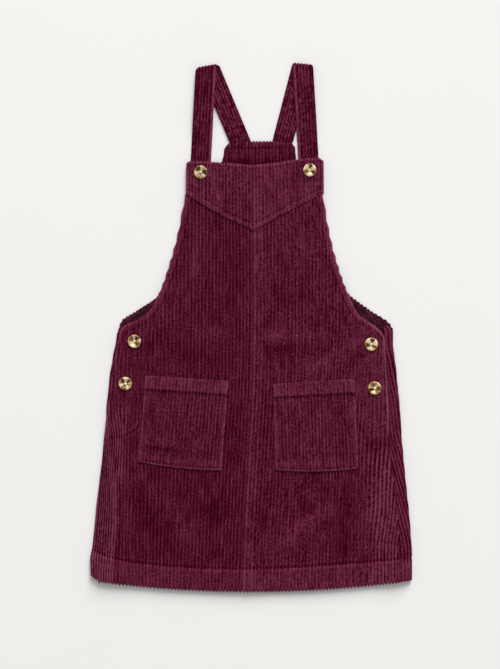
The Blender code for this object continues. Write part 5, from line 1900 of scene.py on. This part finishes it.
def lay_surface(settings):
    """A plain pale sheet that the dress lies on."""
    half = SURFACE_WIDTH / 2
    mesh = bpy.data.meshes.new("surface")
    corners = [(-half, -half, 0), (half, -half, 0), (half, half, 0), (-half, half, 0)]
    mesh.from_pydata(corners, [], [(0, 1, 2, 3)])
    mesh.materials.append(floor_finish("surface", tuple(settings.floor_colour)))
    linked("surface", mesh)


def set_camera(settings):
    """Straight overhead."""
    lens = bpy.data.cameras.new("camera")
    lens.sensor_width, lens.sensor_fit = SENSOR_WIDTH, "HORIZONTAL"
    lens.lens = lens.sensor_width * settings.camera_height / settings.view_width
    place = (*CAMERA_PLACE, settings.camera_height + CAMERA_AIM_HEIGHT)
    bpy.context.scene.camera = linked("camera", lens, place)


def set_lights(settings):
    """A large soft light beyond the straps, and even light from all round."""
    key = bpy.data.lights.new("key", "AREA")
    key.shape, (key.size, key.size_y), key.energy = "RECTANGLE", KEY_SIZE, settings.key_power
    lamp = linked("key", key, KEY_PLACE)
    lamp.rotation_euler = (-Vector(KEY_PLACE)).to_track_quat("-Z", "Y").to_euler()
    world = bpy.data.worlds.new("even light")
    world.use_nodes = True
    sky = next(n for n in world.node_tree.nodes if n.type == "BACKGROUND")
    sky.inputs["Color"].default_value = FILL_COLOUR
    sky.inputs["Strength"].default_value = settings.fill
    bpy.context.scene.world = world
    bpy.context.scene.view_settings.view_transform = "Standard"


# ---- operators ----


class PINAFORE_OT_stage(bpy.types.Operator):
    """The surface, the lights and the camera straight overhead"""

    bl_idname = "pinafore.stage"
    bl_label = "Surface, lights and camera"

    def execute(self, context):
        settings = context.scene.pinafore_stage
        lay_surface(settings)
        set_camera(settings)
        set_lights(settings)
        return {"FINISHED"}


class PINAFORE_OT_front(bpy.types.Operator):
    """Both halves of the front, from the hem to the yoke"""

    bl_idname = "pinafore.front"
    bl_label = "Front halves"

    def execute(self, context):
        front_half("front_left_cloth", "front_left", LEFT)
        front_half("front_right_cloth", "front_right", RIGHT)
        return {"FINISHED"}


class PINAFORE_OT_yoke(bpy.types.Operator):
    """Both halves of the yoke at the top of the bib"""

    bl_idname = "pinafore.yoke"
    bl_label = "Front yoke"

    def execute(self, context):
        yoke_half("front_yoke_left_cloth", "front_yoke_left", LEFT)
        yoke_half("front_yoke_right_cloth", "front_yoke_right", RIGHT)
        return {"FINISHED"}


class PINAFORE_OT_pockets(bpy.types.Operator):
    """The two patch pockets"""

    bl_idname = "pinafore.pockets"
    bl_label = "Pockets"

    def execute(self, context):
        for patch in POCKETS:
            pocket(patch)
        return {"FINISHED"}


class PINAFORE_OT_straps(bpy.types.Operator):
    """The two shoulder straps, folded over to the front"""

    bl_idname = "pinafore.straps"
    bl_label = "Straps"

    def execute(self, context):
        for leg in LEGS:
            strap(leg)
        return {"FINISHED"}


class PINAFORE_OT_back(bpy.types.Operator):
    """The back, its facing and the underlaps beneath the side buttons"""

    bl_idname = "pinafore.back"
    bl_label = "Back, facing and underlaps"

    def execute(self, context):
        back()
        back_facing()
        button_stand("button_stand_left", LEFT)
        button_stand("button_stand_right", RIGHT)
        return {"FINISHED"}


class PINAFORE_OT_buttons(bpy.types.Operator):
    """The six buttons and the thread that holds them"""

    bl_idname = "pinafore.buttons"
    bl_label = "Buttons"

    def execute(self, context):
        for spec in BUTTONS:
            button(spec)
        return {"FINISHED"}


class PINAFORE_OT_stitches(bpy.types.Operator):
    """The rows of stitches along the seams of every piece made so far"""

    bl_idname = "pinafore.stitches"
    bl_label = "Stitches"

    def execute(self, context):
        if not SEWN:
            raise RuntimeError("make the cloth pieces before their stitches")
        stitches(context.scene.pinafore_sewing)
        return {"FINISHED"}


class PINAFORE_PT_panel(bpy.types.Panel):
    """Lists the pieces in the order in which they are made"""

    bl_label = "Pinafore"
    bl_idname = "PINAFORE_PT_panel"
    bl_space_type = "VIEW_3D"
    bl_region_type = "UI"
    bl_category = "Pinafore"

    def draw(self, context):
        for operator in OPERATORS:
            self.layout.operator(operator.bl_idname)


OPERATORS = (
    PINAFORE_OT_stage, PINAFORE_OT_front, PINAFORE_OT_yoke, PINAFORE_OT_pockets, PINAFORE_OT_straps,
    PINAFORE_OT_back, PINAFORE_OT_buttons, PINAFORE_OT_stitches,
)
SETTINGS = {
    "pinafore_cloth": PinaforeCloth, "pinafore_sewing": PinaforeSewing, "pinafore_stage": PinaforeStage,
}
CLASSES = (*SETTINGS.values(), *OPERATORS, PINAFORE_PT_panel)


def register():
    for cls in CLASSES:
        bpy.utils.register_class(cls)
    for name, group in SETTINGS.items():
        setattr(bpy.types.Scene, name, bpy.props.PointerProperty(type=group))


def unregister():
    for name in SETTINGS:
        delattr(bpy.types.Scene, name)
    for cls in reversed(CLASSES):
        bpy.utils.unregister_class(cls)


def main():
    register()
    for operator in OPERATORS:
        group, name = operator.bl_idname.split(".")
        getattr(getattr(bpy.ops, group), name)()


if __name__ == "__main__":
    main()
